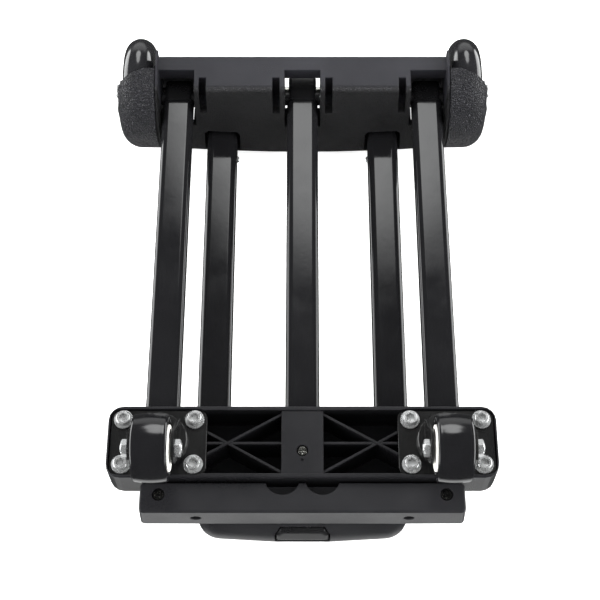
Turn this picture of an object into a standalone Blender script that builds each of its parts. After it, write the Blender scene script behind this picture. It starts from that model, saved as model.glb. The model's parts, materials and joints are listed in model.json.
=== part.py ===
"""Folding equipment cart, folded flat and lying on its back, casters up.

Units are metres with +Z up. X runs across the cart and Y along it, with the big wheels at the far end.
The handle frame lies lowest, and the load platform lies folded over it. The two swivel casters stand on
top of the platform's near end.
"""
import math
import bpy
import bmesh
from mathutils import Matrix, Vector

MM = 0.001

# Clearances
SEAT = 0.3 * MM
RUN = 0.5 * MM

# Crossbar between the big wheels
BAR_HALF = 104.0 * MM
BAR_TOP = 72.0 * MM
BAR_BOTTOM = 12.0 * MM
BAR_FAR = 153.5 * MM
BAR_CREST = 122.6 * MM
BAR_CREST_RADIUS = 5.0 * MM
BAR_FOOT = 114.0 * MM
BAR_BOW = 5.0 * MM
BAR_EDGE = 2.5 * MM
BAR_WALL = 3.0 * MM
BAR_COVER = 2.2 * MM
BAR_FLANGE = 1.6 * MM
SOCKET_TOP = 34.0 * MM

# Big wheels at the far end
WHEEL_RADIUS = 38.0 * MM
WHEEL_WIDTH = 23.0 * MM
WHEEL_STANDOFF = 13.5 * MM
WHEEL_X = BAR_HALF + WHEEL_STANDOFF
TREAD_BULGE = 11.0 * MM
HUB_RADIUS = 23.0 * MM
HUB_WIDTH = 20.0 * MM
HUB_RIM = 3.5 * MM
HUB_WEB = 5.0 * MM
HUB_WINDOWS = 6
BEARING_RADIUS = 11.0 * MM
BEARING_WIDTH = 7.0 * MM
SLEEVE_RADIUS = 4.0 * MM
AXLE_RADIUS = 3.0 * MM
AXLE_Y = 146.5 * MM
AXLE_Z = WHEEL_RADIUS
AXLE_BOLT_HEAD = 3.0 * MM
AXLE_BOLT_RADIUS = 5.2 * MM
AXLE_THREAD_RADIUS = 1.8 * MM
AXLE_THREAD_LENGTH = 12.0 * MM

# Wheel covers at the crossbar's ends
COVER_WALL = 2.0 * MM
COVER_GAP = 0.8 * MM
COVER_STANDOFF = 15.9 * MM
COVER_FACE = WHEEL_X + COVER_STANDOFF
COVER_LIP = 5.0 * MM
COVER_KNEE = 8.0 * MM
COVER_CUT_NEAR = 128.0 * MM
COVER_CUT_FAR = 138.0 * MM
COVER_LUG = 8.0 * MM
COVER_LUG_START = 3.0 * MM

# Folding hinge
HINGE_Y = 134.0 * MM
HINGE_Z = 46.0 * MM
PIN_RADIUS = 2.5 * MM
PIN_SEAT_DEPTH = 2.2 * MM
NOTCH_HALF = 12.8 * MM
NOTCH_FAR = 140.5 * MM
NOTCH_BACK = 121.5 * MM
STOP_HEIGHT = 9.8 * MM
CHEEK = 3.3 * MM
SLOT_WIDTH = 5.2 * MM
SLOT_FLOOR = 51.0 * MM

# Platform tubes
TUBE_INSET = 14.6 * MM
OUTER_TUBE_X = BAR_HALF - TUBE_INSET
TUBE_WIDTH = 22.0 * MM
TUBE_DEPTH = 12.0 * MM
TUBE_CORNER = 4.8 * MM
TUBE_WALL = 1.2 * MM
TUBE_FAR = 129.0 * MM
PLUG_WIDTH = 20.0 * MM
PLUG_SHOULDER = 5.5 * MM
PLUG_TAIL_WIDTH = 14.0 * MM
PLUG_TAIL = 11.0 * MM
PLUG_CAP = 1.8 * MM
PLUG_INSERT = 22.0 * MM
PLUG_BOSS = 4.6 * MM

# Caster plates and their bolts
PLATE_X = OUTER_TUBE_X
PLATE_WIDTH = 60.0 * MM
PLATE_LENGTH = 42.5 * MM
PLATE_THICKNESS = 2.3 * MM
PLATE_CORNER = 5.0 * MM
PLATE_DROP = 1.8 * MM
BOLT_INSET_X = 7.8 * MM
BOLT_INSET_Y = 6.55 * MM
BOLT_PITCH_X = PLATE_WIDTH - 2 * BOLT_INSET_X
BOLT_PITCH_Y = PLATE_LENGTH - 2 * BOLT_INSET_Y
BOLT_RADIUS = 3.0 * MM
BOLT_LENGTH = 14.0 * MM
BOLT_HEAD_RADIUS = 4.6 * MM
BOLT_HEAD_HEIGHT = 3.4 * MM
HEX_SOCKET_RADIUS = 2.3 * MM
WASHER_RADIUS = 6.0 * MM
WASHER_THICKNESS = 1.2 * MM
BOLT_BOSS = 5.6 * MM

# Caster base
BASE_SIDE_MARGIN = 1.6 * MM
BASE_END_MARGIN = 2.15 * MM
BASE_WIDTH = 2 * (PLATE_X + BASE_SIDE_MARGIN) + PLATE_WIDTH
BASE_LENGTH = PLATE_LENGTH + 2 * BASE_END_MARGIN
BASE_NEAR = -160.5 * MM
BASE_TOP = 66.0 * MM
BASE_HEIGHT = 28.5 * MM
BASE_CORNER = 9.0 * MM
BASE_EDGE = 2.5 * MM
BASE_WALL = 2.6 * MM
PANEL_WIDTH = 26.0 * MM
PANEL_DROP = 1.0 * MM
RIB = 1.6 * MM
RIB_DROP = 3.0 * MM
CROSS_X = 46.5 * MM
PANEL_SCREW_SETBACK = 17.7 * MM
PANEL_SCREW_RADIUS = 3.4 * MM
PIT_SETBACK = 11.5 * MM
PIT_RADIUS = 1.1 * MM

# Casters
CASTER_RADIUS = 21.0 * MM
CASTER_WIDTH = 21.5 * MM
CASTER_TRAIL = 16.5 * MM
CASTER_HEIGHT = 34.0 * MM
CASTER_CORE_RADIUS = 14.0 * MM
CASTER_CORE_PROUD = 0.5 * MM
CASTER_AXLE_RADIUS = 3.0 * MM
CASTER_NUT_RADIUS = 5.4 * MM
CASTER_NUT_HEIGHT = 3.6 * MM
RACE_RADIUS = 18.5 * MM
RACE_HEIGHT = 2.8 * MM
FORK_SHEET = 2.0 * MM
FORK_BOSS = 8.0 * MM
FORK_SHOULDER = 7.0 * MM
KINGPIN_RADIUS = 4.5 * MM
KINGPIN_HEAD = 7.0 * MM

# Telescopic handle tubes
HANDLE_INSET = 31.0 * MM
HANDLE_X = OUTER_TUBE_X - HANDLE_INSET
HANDLE_WIDTH = 22.0 * MM
HANDLE_DEPTH = 13.0 * MM
HANDLE_CORNER = 5.0 * MM
HANDLE_TOP = 28.0 * MM
HANDLE_FAR = 143.0 * MM
STAGE_GAP = 0.4 * MM
STAGE_WALL = 1.0 * MM
MID_FAR = 125.0 * MM
INNER_FAR = 118.0 * MM

# Collar in front of the caster base
COLLAR_MARGIN = 10.6 * MM
COLLAR_HALF = OUTER_TUBE_X + COLLAR_MARGIN
COLLAR_GAP = 0.8 * MM
COLLAR_LENGTH = 19.1 * MM
COLLAR_TOP = 59.0 * MM
COLLAR_HEIGHT = 23.0 * MM
COLLAR_WALL = 2.5 * MM
COLLAR_EDGE = 1.6 * MM
COLLAR_SCREW_INSET = 11.6 * MM
COLLAR_SCREW_SETBACK = 11.4 * MM
COLLAR_SCREW_RADIUS = 3.6 * MM
COLLAR_PILLAR = 6.0 * MM
COLLAR_HOLE_INSET = 34.3 * MM
COLLAR_HOLE_RADIUS = 3.4 * MM
THUMB_X = 12.4 * MM
THUMB_BEYOND = 2.8 * MM
THUMB_RADIUS = 10.4 * MM
THUMB_DEPTH = 8.5 * MM

# Grip at the end of the inner tubes
GRIP_MARGIN = 12.6 * MM
GRIP_HALF = HANDLE_X + GRIP_MARGIN
GRIP_NEAR = -184.5 * MM
GRIP_DEPTH = 19.0 * MM
GRIP_TOP = 33.5 * MM
GRIP_TOP_EDGE = 8.0 * MM
GRIP_BACK_EDGE = 11.0 * MM
GRIP_SIDE_SHARE = 0.4
GRIP_WALL = 2.4 * MM
GRIP_PLAN = ((0.0, 12.5), (6.5, 4.1), (21.4, 2.2), (47.0, 0.0))
GRIP_FLOOR = 5.0 * MM
GRIP_ROOF = 3.0 * MM
GRIP_POCKET_SETBACK = 5.7 * MM

# Push-button and release yoke
BUTTON_HALF = 17.3 * MM
BUTTON_THICKNESS = 4.6 * MM
BUTTON_BOTTOM = 12.0 * MM
BUTTON_TOP = 26.6 * MM
BUTTON_BEVEL_X = 3.4 * MM
BUTTON_BEVEL_Z = 6.0 * MM
BUTTON_HEADROOM = 3.4 * MM
BUTTON_TRAVEL = 3.5 * MM
YOKE_THICKNESS = 2.6 * MM
YOKE_HALF_HEIGHT = 2.0 * MM
ROD_RADIUS = 1.5 * MM
ROD_INSET = 4.0 * MM

# Bracket that ties the outer handle tubes together and carries the collar
BRACKET_MARGIN = 14.6 * MM
BRACKET_HALF = HANDLE_X + BRACKET_MARGIN
BRACKET_LENGTH = 25.0 * MM
BRACKET_WALL = 2.8 * MM
BRACKET_LIP = 2.0 * MM
SHELF_THICKNESS = 1.7 * MM

SIDES = (("left", -1), ("right", 1))


# Scene set-up

for old in list(bpy.data.objects):
    bpy.data.objects.remove(old, do_unlink=True)

PARTS = bpy.data.collections.new("equipment_cart")
CUTTERS = bpy.data.collections.new("cutters")
bpy.context.scene.collection.children.link(PARTS)
bpy.context.scene.collection.children.link(CUTTERS)


def make_material(name, colour, roughness, metallic=0.0):
    made = bpy.data.materials.new(name)
    made.use_nodes = True
    shader = made.node_tree.nodes["Principled BSDF"]
    shader.inputs["Base Color"].default_value = (*colour, 1.0)
    shader.inputs["Roughness"].default_value = roughness
    shader.inputs["Metallic"].default_value = metallic
    return made


TUBE_BLACK = make_material("black_tube", (0.012, 0.012, 0.013), 0.22)
PLASTIC = make_material("charcoal_plastic", (0.035, 0.035, 0.038), 0.5)
GRAINED = make_material("grained_plastic", (0.032, 0.032, 0.036), 0.55)
GRIP_PLASTIC = make_material("grip_plastic", (0.03, 0.03, 0.033), 0.42)
STEEL_BLACK = make_material("black_steel", (0.02, 0.02, 0.021), 0.4, 0.6)
SHEET_BLACK = make_material("black_sheet_steel", (0.012, 0.012, 0.012), 0.35)
ZINC = make_material("zinc_steel", (0.66, 0.66, 0.64), 0.32, 1.0)
TYRE_BLACK = make_material("black_tyre", (0.01, 0.01, 0.011), 0.12)
TYRE_SMOKE = make_material("smoke_tyre", (0.03, 0.03, 0.032), 0.1)
CORE_CREAM = make_material("cream_core", (0.78, 0.76, 0.68), 0.4)
HUB_BLACK = make_material("black_hub", (0.015, 0.015, 0.016), 0.4)


# Modelling helpers

AXES = {
    "X": Matrix(((0, 0, 1), (1, 0, 0), (0, 1, 0))).to_4x4(),
    "Y": Matrix(((1, 0, 0), (0, 0, -1), (0, 1, 0))).to_4x4(),
    "Z": Matrix.Identity(4),
}
FLIPPED = Matrix.Rotation(math.pi, 4, "X")


def link(obj, collection):
    for held in list(obj.users_collection):
        held.objects.unlink(obj)
    collection.objects.link(obj)
    return obj


def from_bmesh(name, shape):
    mesh = bpy.data.meshes.new(name)
    bmesh.ops.recalc_face_normals(shape, faces=shape.faces)
    shape.to_mesh(mesh)
    shape.free()
    return link_new(name, mesh)


def link_new(name, mesh):
    obj = bpy.data.objects.new(name, mesh)
    PARTS.objects.link(obj)
    return obj


def block(name, low, high, radius=0.0, segments=2):
    """Box between two corners, with its edges rounded."""
    size = Vector(high) - Vector(low)
    shape = bmesh.new()
    bmesh.ops.create_cube(shape, size=1.0)
    bmesh.ops.scale(shape, vec=size, verts=shape.verts)
    obj = from_bmesh(name, shape)
    obj.location = (Vector(low) + Vector(high)) / 2
    if radius:
        edge = obj.modifiers.new("edge", "BEVEL")
        edge.width = radius
        edge.segments = segments
        edge.limit_method = "ANGLE"
    return obj


def rod(name, radius, start, end, axis, at, sides=16):
    """Round bar along an axis from start to end, through the point at."""
    shape = bmesh.new()
    bmesh.ops.create_cone(shape, cap_ends=True, segments=sides, radius1=radius, radius2=radius,
                          depth=end - start)
    obj = from_bmesh(name, shape)
    middle = Vector(at)
    middle["XYZ".index(axis)] = (start + end) / 2
    obj.matrix_world = Matrix.Translation(middle) @ AXES[axis]
    return obj


def fillet(points, radii, steps=3):
    """Closed outline through the points, with each corner rounded by its radius."""
    outline = []
    count = len(points)
    for index, corner in enumerate(points):
        corner = Vector(corner)
        radius = radii[index] if isinstance(radii, (list, tuple)) else radii
        if not radius:
            outline.append(corner)
            continue
        before = (Vector(points[index - 1]) - corner).normalized()
        after = (Vector(points[(index + 1) % count]) - corner).normalized()
        half = before.angle(after) / 2
        centre = corner + (before + after).normalized() * (radius / math.sin(half))
        start = corner + before * (radius / math.tan(half)) - centre
        sweep = start.angle_signed(corner + after * (radius / math.tan(half)) - centre)
        for step in range(steps + 1):
            turn = -sweep * step / steps
            cosine = math.cos(turn)
            sine = math.sin(turn)
            outline.append(centre + Vector((start.x * cosine - start.y * sine,
                                            start.x * sine + start.y * cosine)))
    return outline


def rounded_rectangle(width, height, radius, steps=3, centre=(0.0, 0.0)):
    half_w = width / 2
    half_h = height / 2
    x, y = centre
    corners = [(x - half_w, y - half_h), (x + half_w, y - half_h), (x + half_w, y + half_h),
               (x - half_w, y + half_h)]
    return fillet(corners, radius, steps)


def prism(name, outlines, start, end, axis, at=(0.0, 0.0, 0.0)):
    """Flat outline with holes, drawn square to an axis and extruded along it from start to end."""
    curve = bpy.data.curves.new(name, "CURVE")
    curve.dimensions = "2D"
    curve.fill_mode = "BOTH"
    curve.extrude = (end - start) / 2
    for outline in outlines:
        spline = curve.splines.new("POLY")
        spline.points.add(len(outline) - 1)
        for point, place in zip(spline.points, outline):
            point.co = (place[0], place[1], 0.0, 1.0)
        spline.use_cyclic_u = True
    guide = bpy.data.objects.new(name + "_outline", curve)
    PARTS.objects.link(guide)
    middle = Vector(at)
    middle["XYZ".index(axis)] = (start + end) / 2
    guide.matrix_world = Matrix.Translation(middle) @ AXES[axis]
    bpy.context.view_layer.update()
    graph = bpy.context.evaluated_depsgraph_get()
    mesh = bpy.data.meshes.new_from_object(guide.evaluated_get(graph))
    shape = bmesh.new()
    shape.from_mesh(mesh)
    bmesh.ops.remove_doubles(shape, verts=shape.verts, dist=0.000001)
    bmesh.ops.recalc_face_normals(shape, faces=shape.faces)
    shape.to_mesh(mesh)
    shape.free()
    mesh.materials.clear()
    obj = link_new(name, mesh)
    obj.matrix_world = guide.matrix_world
    bpy.data.objects.remove(guide, do_unlink=True)
    return obj


def turned(name, profile, axis, at, sides=40, flip=False):
    """Solid of revolution: a profile of (radius, height) points, down its outer side, about an axis."""
    shape = bmesh.new()
    verts = [shape.verts.new((radius, 0.0, height)) for radius, height in profile]
    on_axis = profile[0][0] == 0.0 and profile[-1][0] == 0.0
    followers = verts[1:] if on_axis else verts[1:] + verts[:1]
    for first, second in zip(verts, followers):
        shape.edges.new((first, second))
    mesh = bpy.data.meshes.new(name)
    shape.to_mesh(mesh)
    shape.free()
    obj = link_new(name, mesh)
    screw = obj.modifiers.new("turn", "SCREW")
    screw.axis = "Z"
    screw.steps = sides
    screw.render_steps = sides
    screw.use_merge_vertices = True
    screw.merge_threshold = 0.000001
    screw.use_smooth_shade = True
    obj.matrix_world = Matrix.Translation(Vector(at)) @ AXES[axis] @ (FLIPPED if flip else AXES["Z"])
    return obj


def loft(name, rings):
    """Closed skin over rings that hold the same number of points."""
    shape = bmesh.new()
    rows = [[shape.verts.new(point) for point in ring] for ring in rings]
    for lower, upper in zip(rows, rows[1:]):
        for k in range(len(lower)):
            nxt = (k + 1) % len(lower)
            shape.faces.new((lower[k], lower[nxt], upper[nxt], upper[k]))
    bmesh.ops.triangulate(shape, faces=shape.faces)
    shape.faces.new(rows[0][::-1])
    shape.faces.new(rows[-1])
    return from_bmesh(name, shape)


def boolean(obj, tool, operation):
    change = obj.modifiers.new(operation.lower(), "BOOLEAN")
    change.operation = operation
    change.solver = "EXACT"
    change.object = tool
    link(tool, CUTTERS)
    tool.hide_render = True
    tool.display_type = "WIRE"
    return obj


def cut(obj, *tools):
    for tool in tools:
        boolean(obj, tool, "DIFFERENCE")
    return obj


def join(obj, *tools):
    for tool in tools:
        boolean(obj, tool, "UNION")
    return obj


def carrier(name, at, parent=None):
    """Empty on a joint's axis that carries the pieces moving with it."""
    empty = bpy.data.objects.new(name, None)
    empty.empty_display_size = 0.02
    PARTS.objects.link(empty)
    if parent:
        empty.parent = parent
        empty.location = Vector(at) - parent.matrix_world.translation
    else:
        empty.location = at
    bpy.context.view_layer.update()
    return empty


def finish(obj, material, parent=None):
    """Gives a piece its material, its smoothing and the body that carries it."""
    obj.data.materials.clear()
    obj.data.materials.append(material)
    obj.data.shade_smooth()
    obj.data.set_sharp_from_angle(angle=math.radians(35))
    if parent:
        bpy.context.view_layer.update()
        world = obj.matrix_world.copy()
        obj.parent = parent
        obj.matrix_parent_inverse = parent.matrix_world.inverted()
        obj.matrix_world = world
    return obj


# Crossbar

def bar_outline(x, low, high, inset=0.0, radii=0.0):
    """Section of the crossbar at x, between two heights, with its near face bowed and leaning."""
    foot = BAR_FOOT - BAR_BOW * (1.0 - (x / BAR_HALF) ** 2)
    lean = (BAR_CREST - foot) / (BAR_TOP - BAR_BOTTOM)
    near_low = foot + lean * (low - BAR_BOTTOM) + inset
    near_high = foot + lean * (high - BAR_BOTTOM) + inset
    far = BAR_FAR - inset
    corners = [(far, low), (far, high), (near_high, high), (near_low, low)]
    return [Vector((x, y, z)) for y, z in fillet(corners, radii)]


def bar_cavity(name, x_from, x_to, low, high, wall):
    stations = [x_from + (x_to - x_from) * k / 3 for k in range(4)]
    return loft(name, [bar_outline(x, low, high, wall) for x in stations])


HINGE_STATIONS = (("left", -OUTER_TUBE_X), ("centre", 0.0), ("right", OUTER_TUBE_X))
NOTCH_FLOOR = HINGE_Z - TUBE_DEPTH / 2 - 1.5 * MM
CHEEK_OUT = NOTCH_HALF + CHEEK
SLOT_OUT = CHEEK_OUT + SLOT_WIDTH
HOLLOW_IN = SLOT_OUT + BAR_WALL
HOLLOW_OUT = OUTER_TUBE_X - HOLLOW_IN
SOCKET_IN = HANDLE_X - HANDLE_WIDTH / 2 - BAR_WALL
PIN_HALF = NOTCH_HALF + PIN_SEAT_DEPTH
PAST = 5.0 * MM


def tube_outline(width, depth, corner, grow=0.0):
    return rounded_rectangle(width + 2 * grow, depth + 2 * grow, corner + grow)


def make_crossbar():
    edge = 1.0 * MM
    radii = [BAR_EDGE, BAR_EDGE, BAR_CREST_RADIUS, BAR_EDGE]
    inner = BAR_HALF - edge
    stations = [inner * (k / 4 - 1.0) for k in range(9)]
    rings = [bar_outline(x, BAR_BOTTOM, BAR_TOP, 0.0, radii) for x in stations]
    ends = [bar_outline(x, BAR_BOTTOM + edge, BAR_TOP - edge, edge, radii) for x in (-BAR_HALF, BAR_HALF)]
    bar = loft("crossbar", [ends[0]] + rings + [ends[1]])
    near = BAR_FOOT - BAR_BOW - PAST
    flange_radius = WHEEL_RADIUS + COVER_GAP + COVER_WALL - SEAT
    trim = 0.1 * MM
    for side, sign in SIDES:
        low, high = sorted((sign * (BAR_HALF - BAR_FLANGE), sign * (BAR_HALF - trim)))
        flange = rod(f"end_flange_{side}", flange_radius, low, high, "X", (0, AXLE_Y, AXLE_Z), 36)
        reach = BAR_HALF + PAST
        far = AXLE_Y + flange_radius + PAST
        cut(flange,
            block(f"flange_far_{side}", (-reach, BAR_FAR - trim, -PAST), (reach, far, BAR_TOP + 4 * PAST)),
            block(f"flange_low_{side}", (-reach, AXLE_Y - flange_radius - PAST, -PAST),
                  (reach, far, BAR_BOTTOM + trim)))
        join(bar, flange)
    for side, x in HINGE_STATIONS:
        back = BAR_FAR - BAR_WALL if x else BAR_FAR + PAST
        cut(bar,
            block(f"notch_{side}", (x - NOTCH_HALF, near, NOTCH_FLOOR),
                  (x + NOTCH_HALF, NOTCH_FAR, BAR_TOP + PAST)),
            block(f"notch_back_{side}", (x - NOTCH_HALF, NOTCH_BACK, BAR_BOTTOM - PAST),
                  (x + NOTCH_HALF, back, BAR_TOP - STOP_HEIGHT)),
            rod(f"pin_bore_{side}", PIN_RADIUS + SEAT, x - PIN_HALF - SEAT, x + PIN_HALF + SEAT, "X",
                (0, HINGE_Y, HINGE_Z)))
        for sign in (-1, 1):
            if x * sign > 0.0:
                continue
            low, high = sorted((x + sign * CHEEK_OUT, x + sign * SLOT_OUT))
            cut(bar, block(f"slot_{side}_{sign}", (low, near, SLOT_FLOOR), (high, HINGE_Y, BAR_TOP + PAST)))
    for side, sign in SIDES:
        low, high = sorted((sign * HOLLOW_IN, sign * HOLLOW_OUT))
        cut(bar, bar_cavity(f"hollow_top_{side}", low, high, SOCKET_TOP, BAR_TOP - BAR_WALL,
                            BAR_WALL))
        low, high = sorted((sign * HOLLOW_IN, sign * SOCKET_IN))
        cut(bar, bar_cavity(f"hollow_low_{side}", low, high, BAR_BOTTOM - PAST, SOCKET_TOP + PAST,
                            BAR_WALL + SEAT))
        middle = (sign * HANDLE_X, 0.0, HANDLE_TOP - HANDLE_DEPTH / 2)
        mouth_top = SOCKET_TOP - 1.5 * MM
        mouth_low = middle[2] - HANDLE_DEPTH / 2 - 1.5 * MM
        mouth = rounded_rectangle(HANDLE_WIDTH + 4.0 * MM, mouth_top - mouth_low, 4.0 * MM, 4,
                                  (0.0, (mouth_top + mouth_low) / 2 - middle[2]))
        cut(bar,
            prism(f"tube_mouth_{side}", [mouth], near, BAR_CREST + 1.4 * MM, "Y", middle),
            prism(f"tube_socket_{side}", [tube_outline(HANDLE_WIDTH, HANDLE_DEPTH, HANDLE_CORNER, SEAT)],
                  near, HANDLE_FAR + SEAT, "Y", middle))
    cut(bar, rod("axle_bore", AXLE_RADIUS + SEAT, -BAR_HALF - PAST, BAR_HALF + PAST, "X",
                 (0, AXLE_Y, AXLE_Z)))
    return finish(bar, PLASTIC)


def make_bar_cover(side, sign):
    low, high = sorted((sign * (HOLLOW_IN + SEAT), sign * (SOCKET_IN - SEAT)))
    foot = BAR_FOOT - BAR_BOW * (1.0 - (SOCKET_IN / BAR_HALF) ** 2)
    near = foot + BAR_WALL + SEAT + 0.6 * MM
    cover = block(f"crossbar_cover_{side}", (low, near, BAR_BOTTOM), (high, BAR_FAR - BAR_WALL - SEAT,
                                                                    BAR_BOTTOM + BAR_COVER), 0.4 * MM, 1)
    return finish(cover, PLASTIC)


def make_wheel_cover(side, sign):
    """Domed half cover that follows the wheel's tread, with a lug for the axle bolt."""
    gap = COVER_GAP
    wall = COVER_WALL
    arc_radius = WHEEL_RADIUS - TREAD_BULGE
    half = WHEEL_WIDTH / 2
    inner_end = BAR_HALF + SEAT
    bore = AXLE_RADIUS + SEAT
    turns = [math.radians(90 - 22.5 * k) for k in range(5)]

    def tread(extra):
        return [(arc_radius + (TREAD_BULGE + extra) * math.cos(t), WHEEL_X + (half + extra) * math.sin(t))
                for t in turns]

    outside = tread(gap + wall)
    inside = tread(gap)
    profile = [(bore, COVER_FACE), (arc_radius - TREAD_BULGE, COVER_FACE)] + outside
    profile += [(outside[-1][0], inner_end), (inside[-1][0] - COVER_LIP, inner_end)]
    profile += [(inside[-1][0] - COVER_LIP, inner_end + wall), (inside[-1][0], inner_end + wall)]
    profile += inside[::-1] + [(arc_radius - TREAD_BULGE - 1.0 * MM, COVER_FACE - wall),
                               (bore, COVER_FACE - wall)]
    cover = turned(f"wheel_cover_{side}", profile, "X", (0, AXLE_Y, AXLE_Z), 36, sign < 0)
    start = BAR_HALF - PAST
    end = COVER_FACE + 2 * PAST
    beyond = AXLE_Y + 2 * WHEEL_RADIUS
    below = block(f"cover_base_cut_{side}", (-end, AXLE_Y - 2 * WHEEL_RADIUS, -WHEEL_RADIUS),
                  (end, beyond, BAR_BOTTOM))
    reach = [(start, COVER_CUT_FAR), (BAR_HALF + COVER_KNEE, COVER_CUT_FAR),
             (COVER_FACE + 2 * MM, COVER_CUT_NEAR), (end, COVER_CUT_NEAR), (end, beyond), (start, beyond)]
    reach = [(sign * x, y) for x, y in reach]
    far = prism(f"cover_far_cut_{side}", [reach], -WHEEL_RADIUS, AXLE_Z + 2 * WHEEL_RADIUS, "Z")
    lug_near = COVER_CUT_NEAR - COVER_LUG_START - AXLE_Y
    lug = fillet([(lug_near, -COVER_LUG), (COVER_LUG, -COVER_LUG), (COVER_LUG, COVER_LUG),
                  (lug_near, COVER_LUG)], [0.0, COVER_LUG * 0.98, COVER_LUG * 0.98, 0.0], 6)
    low, high = sorted((sign * (COVER_FACE - wall - 0.1 * MM), sign * (COVER_FACE - 0.1 * MM)))
    tongue = prism(f"cover_lug_{side}", [lug], low, high, "X", (0, AXLE_Y, AXLE_Z))
    cut(cover, below, far)
    join(cover, tongue)
    low, high = sorted((sign * (COVER_FACE - PAST), sign * (COVER_FACE + PAST)))
    cut(cover, rod(f"cover_bore_{side}", bore, low, high, "X", (0, AXLE_Y, AXLE_Z)))
    return finish(cover, GRAINED)


def hex_prism(name, radius, start, end, axis, at):
    return rod(name, radius, start, end, axis, at, 6)


def make_axle():
    end = COVER_FACE - COVER_WALL - SEAT
    axle = rod("wheel_axle", AXLE_RADIUS, -end, end, "X", (0, AXLE_Y, AXLE_Z))
    for side, sign in SIDES:
        low, high = sorted((sign * (end - AXLE_THREAD_LENGTH - 2 * MM), sign * (end + PAST)))
        cut(axle, rod(f"axle_thread_{side}", AXLE_THREAD_RADIUS, low, high, "X", (0, AXLE_Y, AXLE_Z)))
    return finish(axle, STEEL_BLACK)


def make_axle_bolt(side, sign):
    seat = COVER_FACE + SEAT
    end = COVER_FACE - COVER_WALL
    thread = AXLE_THREAD_RADIUS - 0.2 * MM
    head = AXLE_BOLT_RADIUS
    profile = [(0.0, seat + AXLE_BOLT_HEAD), (head - 1.6 * MM, seat + AXLE_BOLT_HEAD),
               (head - 0.4 * MM, seat + AXLE_BOLT_HEAD * 0.6), (head, seat), (AXLE_RADIUS, seat),
               (AXLE_RADIUS, end), (thread, end), (thread, end - AXLE_THREAD_LENGTH),
               (0.0, end - AXLE_THREAD_LENGTH)]
    bolt = turned(f"axle_bolt_{side}", profile, "X", (0, AXLE_Y, AXLE_Z), 16, sign < 0)
    low, high = sorted((sign * (seat + 1.0 * MM), sign * (seat + AXLE_BOLT_HEAD + PAST)))
    cut(bolt, hex_prism(f"axle_hex_{side}", HEX_SOCKET_RADIUS, low, high, "X", (0, AXLE_Y, AXLE_Z)))
    return finish(bolt, ZINC)


# Big wheels

def make_wheel(side, sign):
    at = (sign * WHEEL_X, AXLE_Y, AXLE_Z)
    body = carrier(f"wheel_{side}_axis", at)
    flip = sign < 0
    arc = WHEEL_RADIUS - TREAD_BULGE
    half = WHEEL_WIDTH / 2
    seat = HUB_WIDTH / 2
    turns = [math.radians(90 - 22.5 * k) for k in range(9)]
    tread = [(arc + TREAD_BULGE * math.cos(t), half * math.sin(t)) for t in turns]
    bore = HUB_RADIUS + SEAT
    tyre = turned(f"wheel_tyre_{side}", [(bore, seat)] + tread + [(bore, -seat)], "X", at, 40, flip)
    finish(tyre, TYRE_SMOKE, body)

    rim = HUB_RADIUS - HUB_RIM
    boss = BEARING_RADIUS + 2.4 * MM
    web = HUB_WEB / 2
    nest = BEARING_RADIUS + SEAT
    stop = seat - BEARING_WIDTH - SEAT
    lip = BEARING_RADIUS - 2.0 * MM
    profile = [(HUB_RADIUS, seat), (HUB_RADIUS, -seat), (rim, -seat), (rim, -web), (boss, -web),
               (boss, -seat),
               (nest, -seat), (nest, -stop), (lip, -stop), (lip, stop), (nest, stop), (nest, seat),
               (boss, seat), (boss, web), (rim, web), (rim, seat)]
    hub = turned(f"wheel_hub_{side}", profile, "X", at, 20, flip)
    window = (rim - boss) * 0.4
    for k in range(HUB_WINDOWS):
        angle = 2 * math.pi * k / HUB_WINDOWS
        ring = (rim + boss) / 2
        place = (0, AXLE_Y + ring * math.cos(angle), AXLE_Z + ring * math.sin(angle))
        low, high = sorted((sign * (WHEEL_X - seat), sign * (WHEEL_X + seat)))
        cut(hub, rod(f"hub_window_{side}_{k}", window, low, high, "X", place, 6))
    finish(hub, HUB_BLACK, body)

    for name, turn in (("outer", 1), ("inner", -1)):
        high = turn * seat
        low = turn * (stop + SEAT / 2)
        top, bottom = max(high, low), min(high, low)
        race = SLEEVE_RADIUS + 0.15 * MM
        ring = [(BEARING_RADIUS, top), (BEARING_RADIUS, bottom), (race, bottom), (race, top)]
        bearing = turned(f"bearing_{side}_{name}", ring, "X", at, 24, flip)
        finish(bearing, ZINC, body)

    start = BAR_HALF + SEAT - WHEEL_X
    end = COVER_FACE - COVER_WALL - SEAT - WHEEL_X
    outer = SLEEVE_RADIUS
    inner = AXLE_RADIUS + 0.2 * MM
    sleeve = turned(f"axle_sleeve_{side}", [(outer, end), (outer, start), (inner, start), (inner, end)], "X",
                    at, 16, flip)
    finish(sleeve, ZINC)


# Folding platform

def make_hinge_pin(side, x):
    pin = rod(f"hinge_pin_{side}", PIN_RADIUS, x - PIN_HALF, x + PIN_HALF, "X", (0, HINGE_Y, HINGE_Z))
    return finish(pin, ZINC)


BASE_FAR = BASE_NEAR + BASE_LENGTH
BASE_BOTTOM = BASE_TOP - BASE_HEIGHT
TUBE_NEAR = BASE_NEAR + BASE_WALL + 2.0 * MM
PANEL_SCREW_Y = BASE_NEAR + PANEL_SCREW_SETBACK
BASE_FLOOR_TOP = HINGE_Z - TUBE_DEPTH / 2 - 2 * SEAT
PLATE_BOTTOM = BASE_TOP - PLATE_DROP - PLATE_THICKNESS
PLATE_TOP = BASE_TOP - PLATE_DROP
BASE_MIDDLE = BASE_NEAR + BASE_LENGTH / 2


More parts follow.
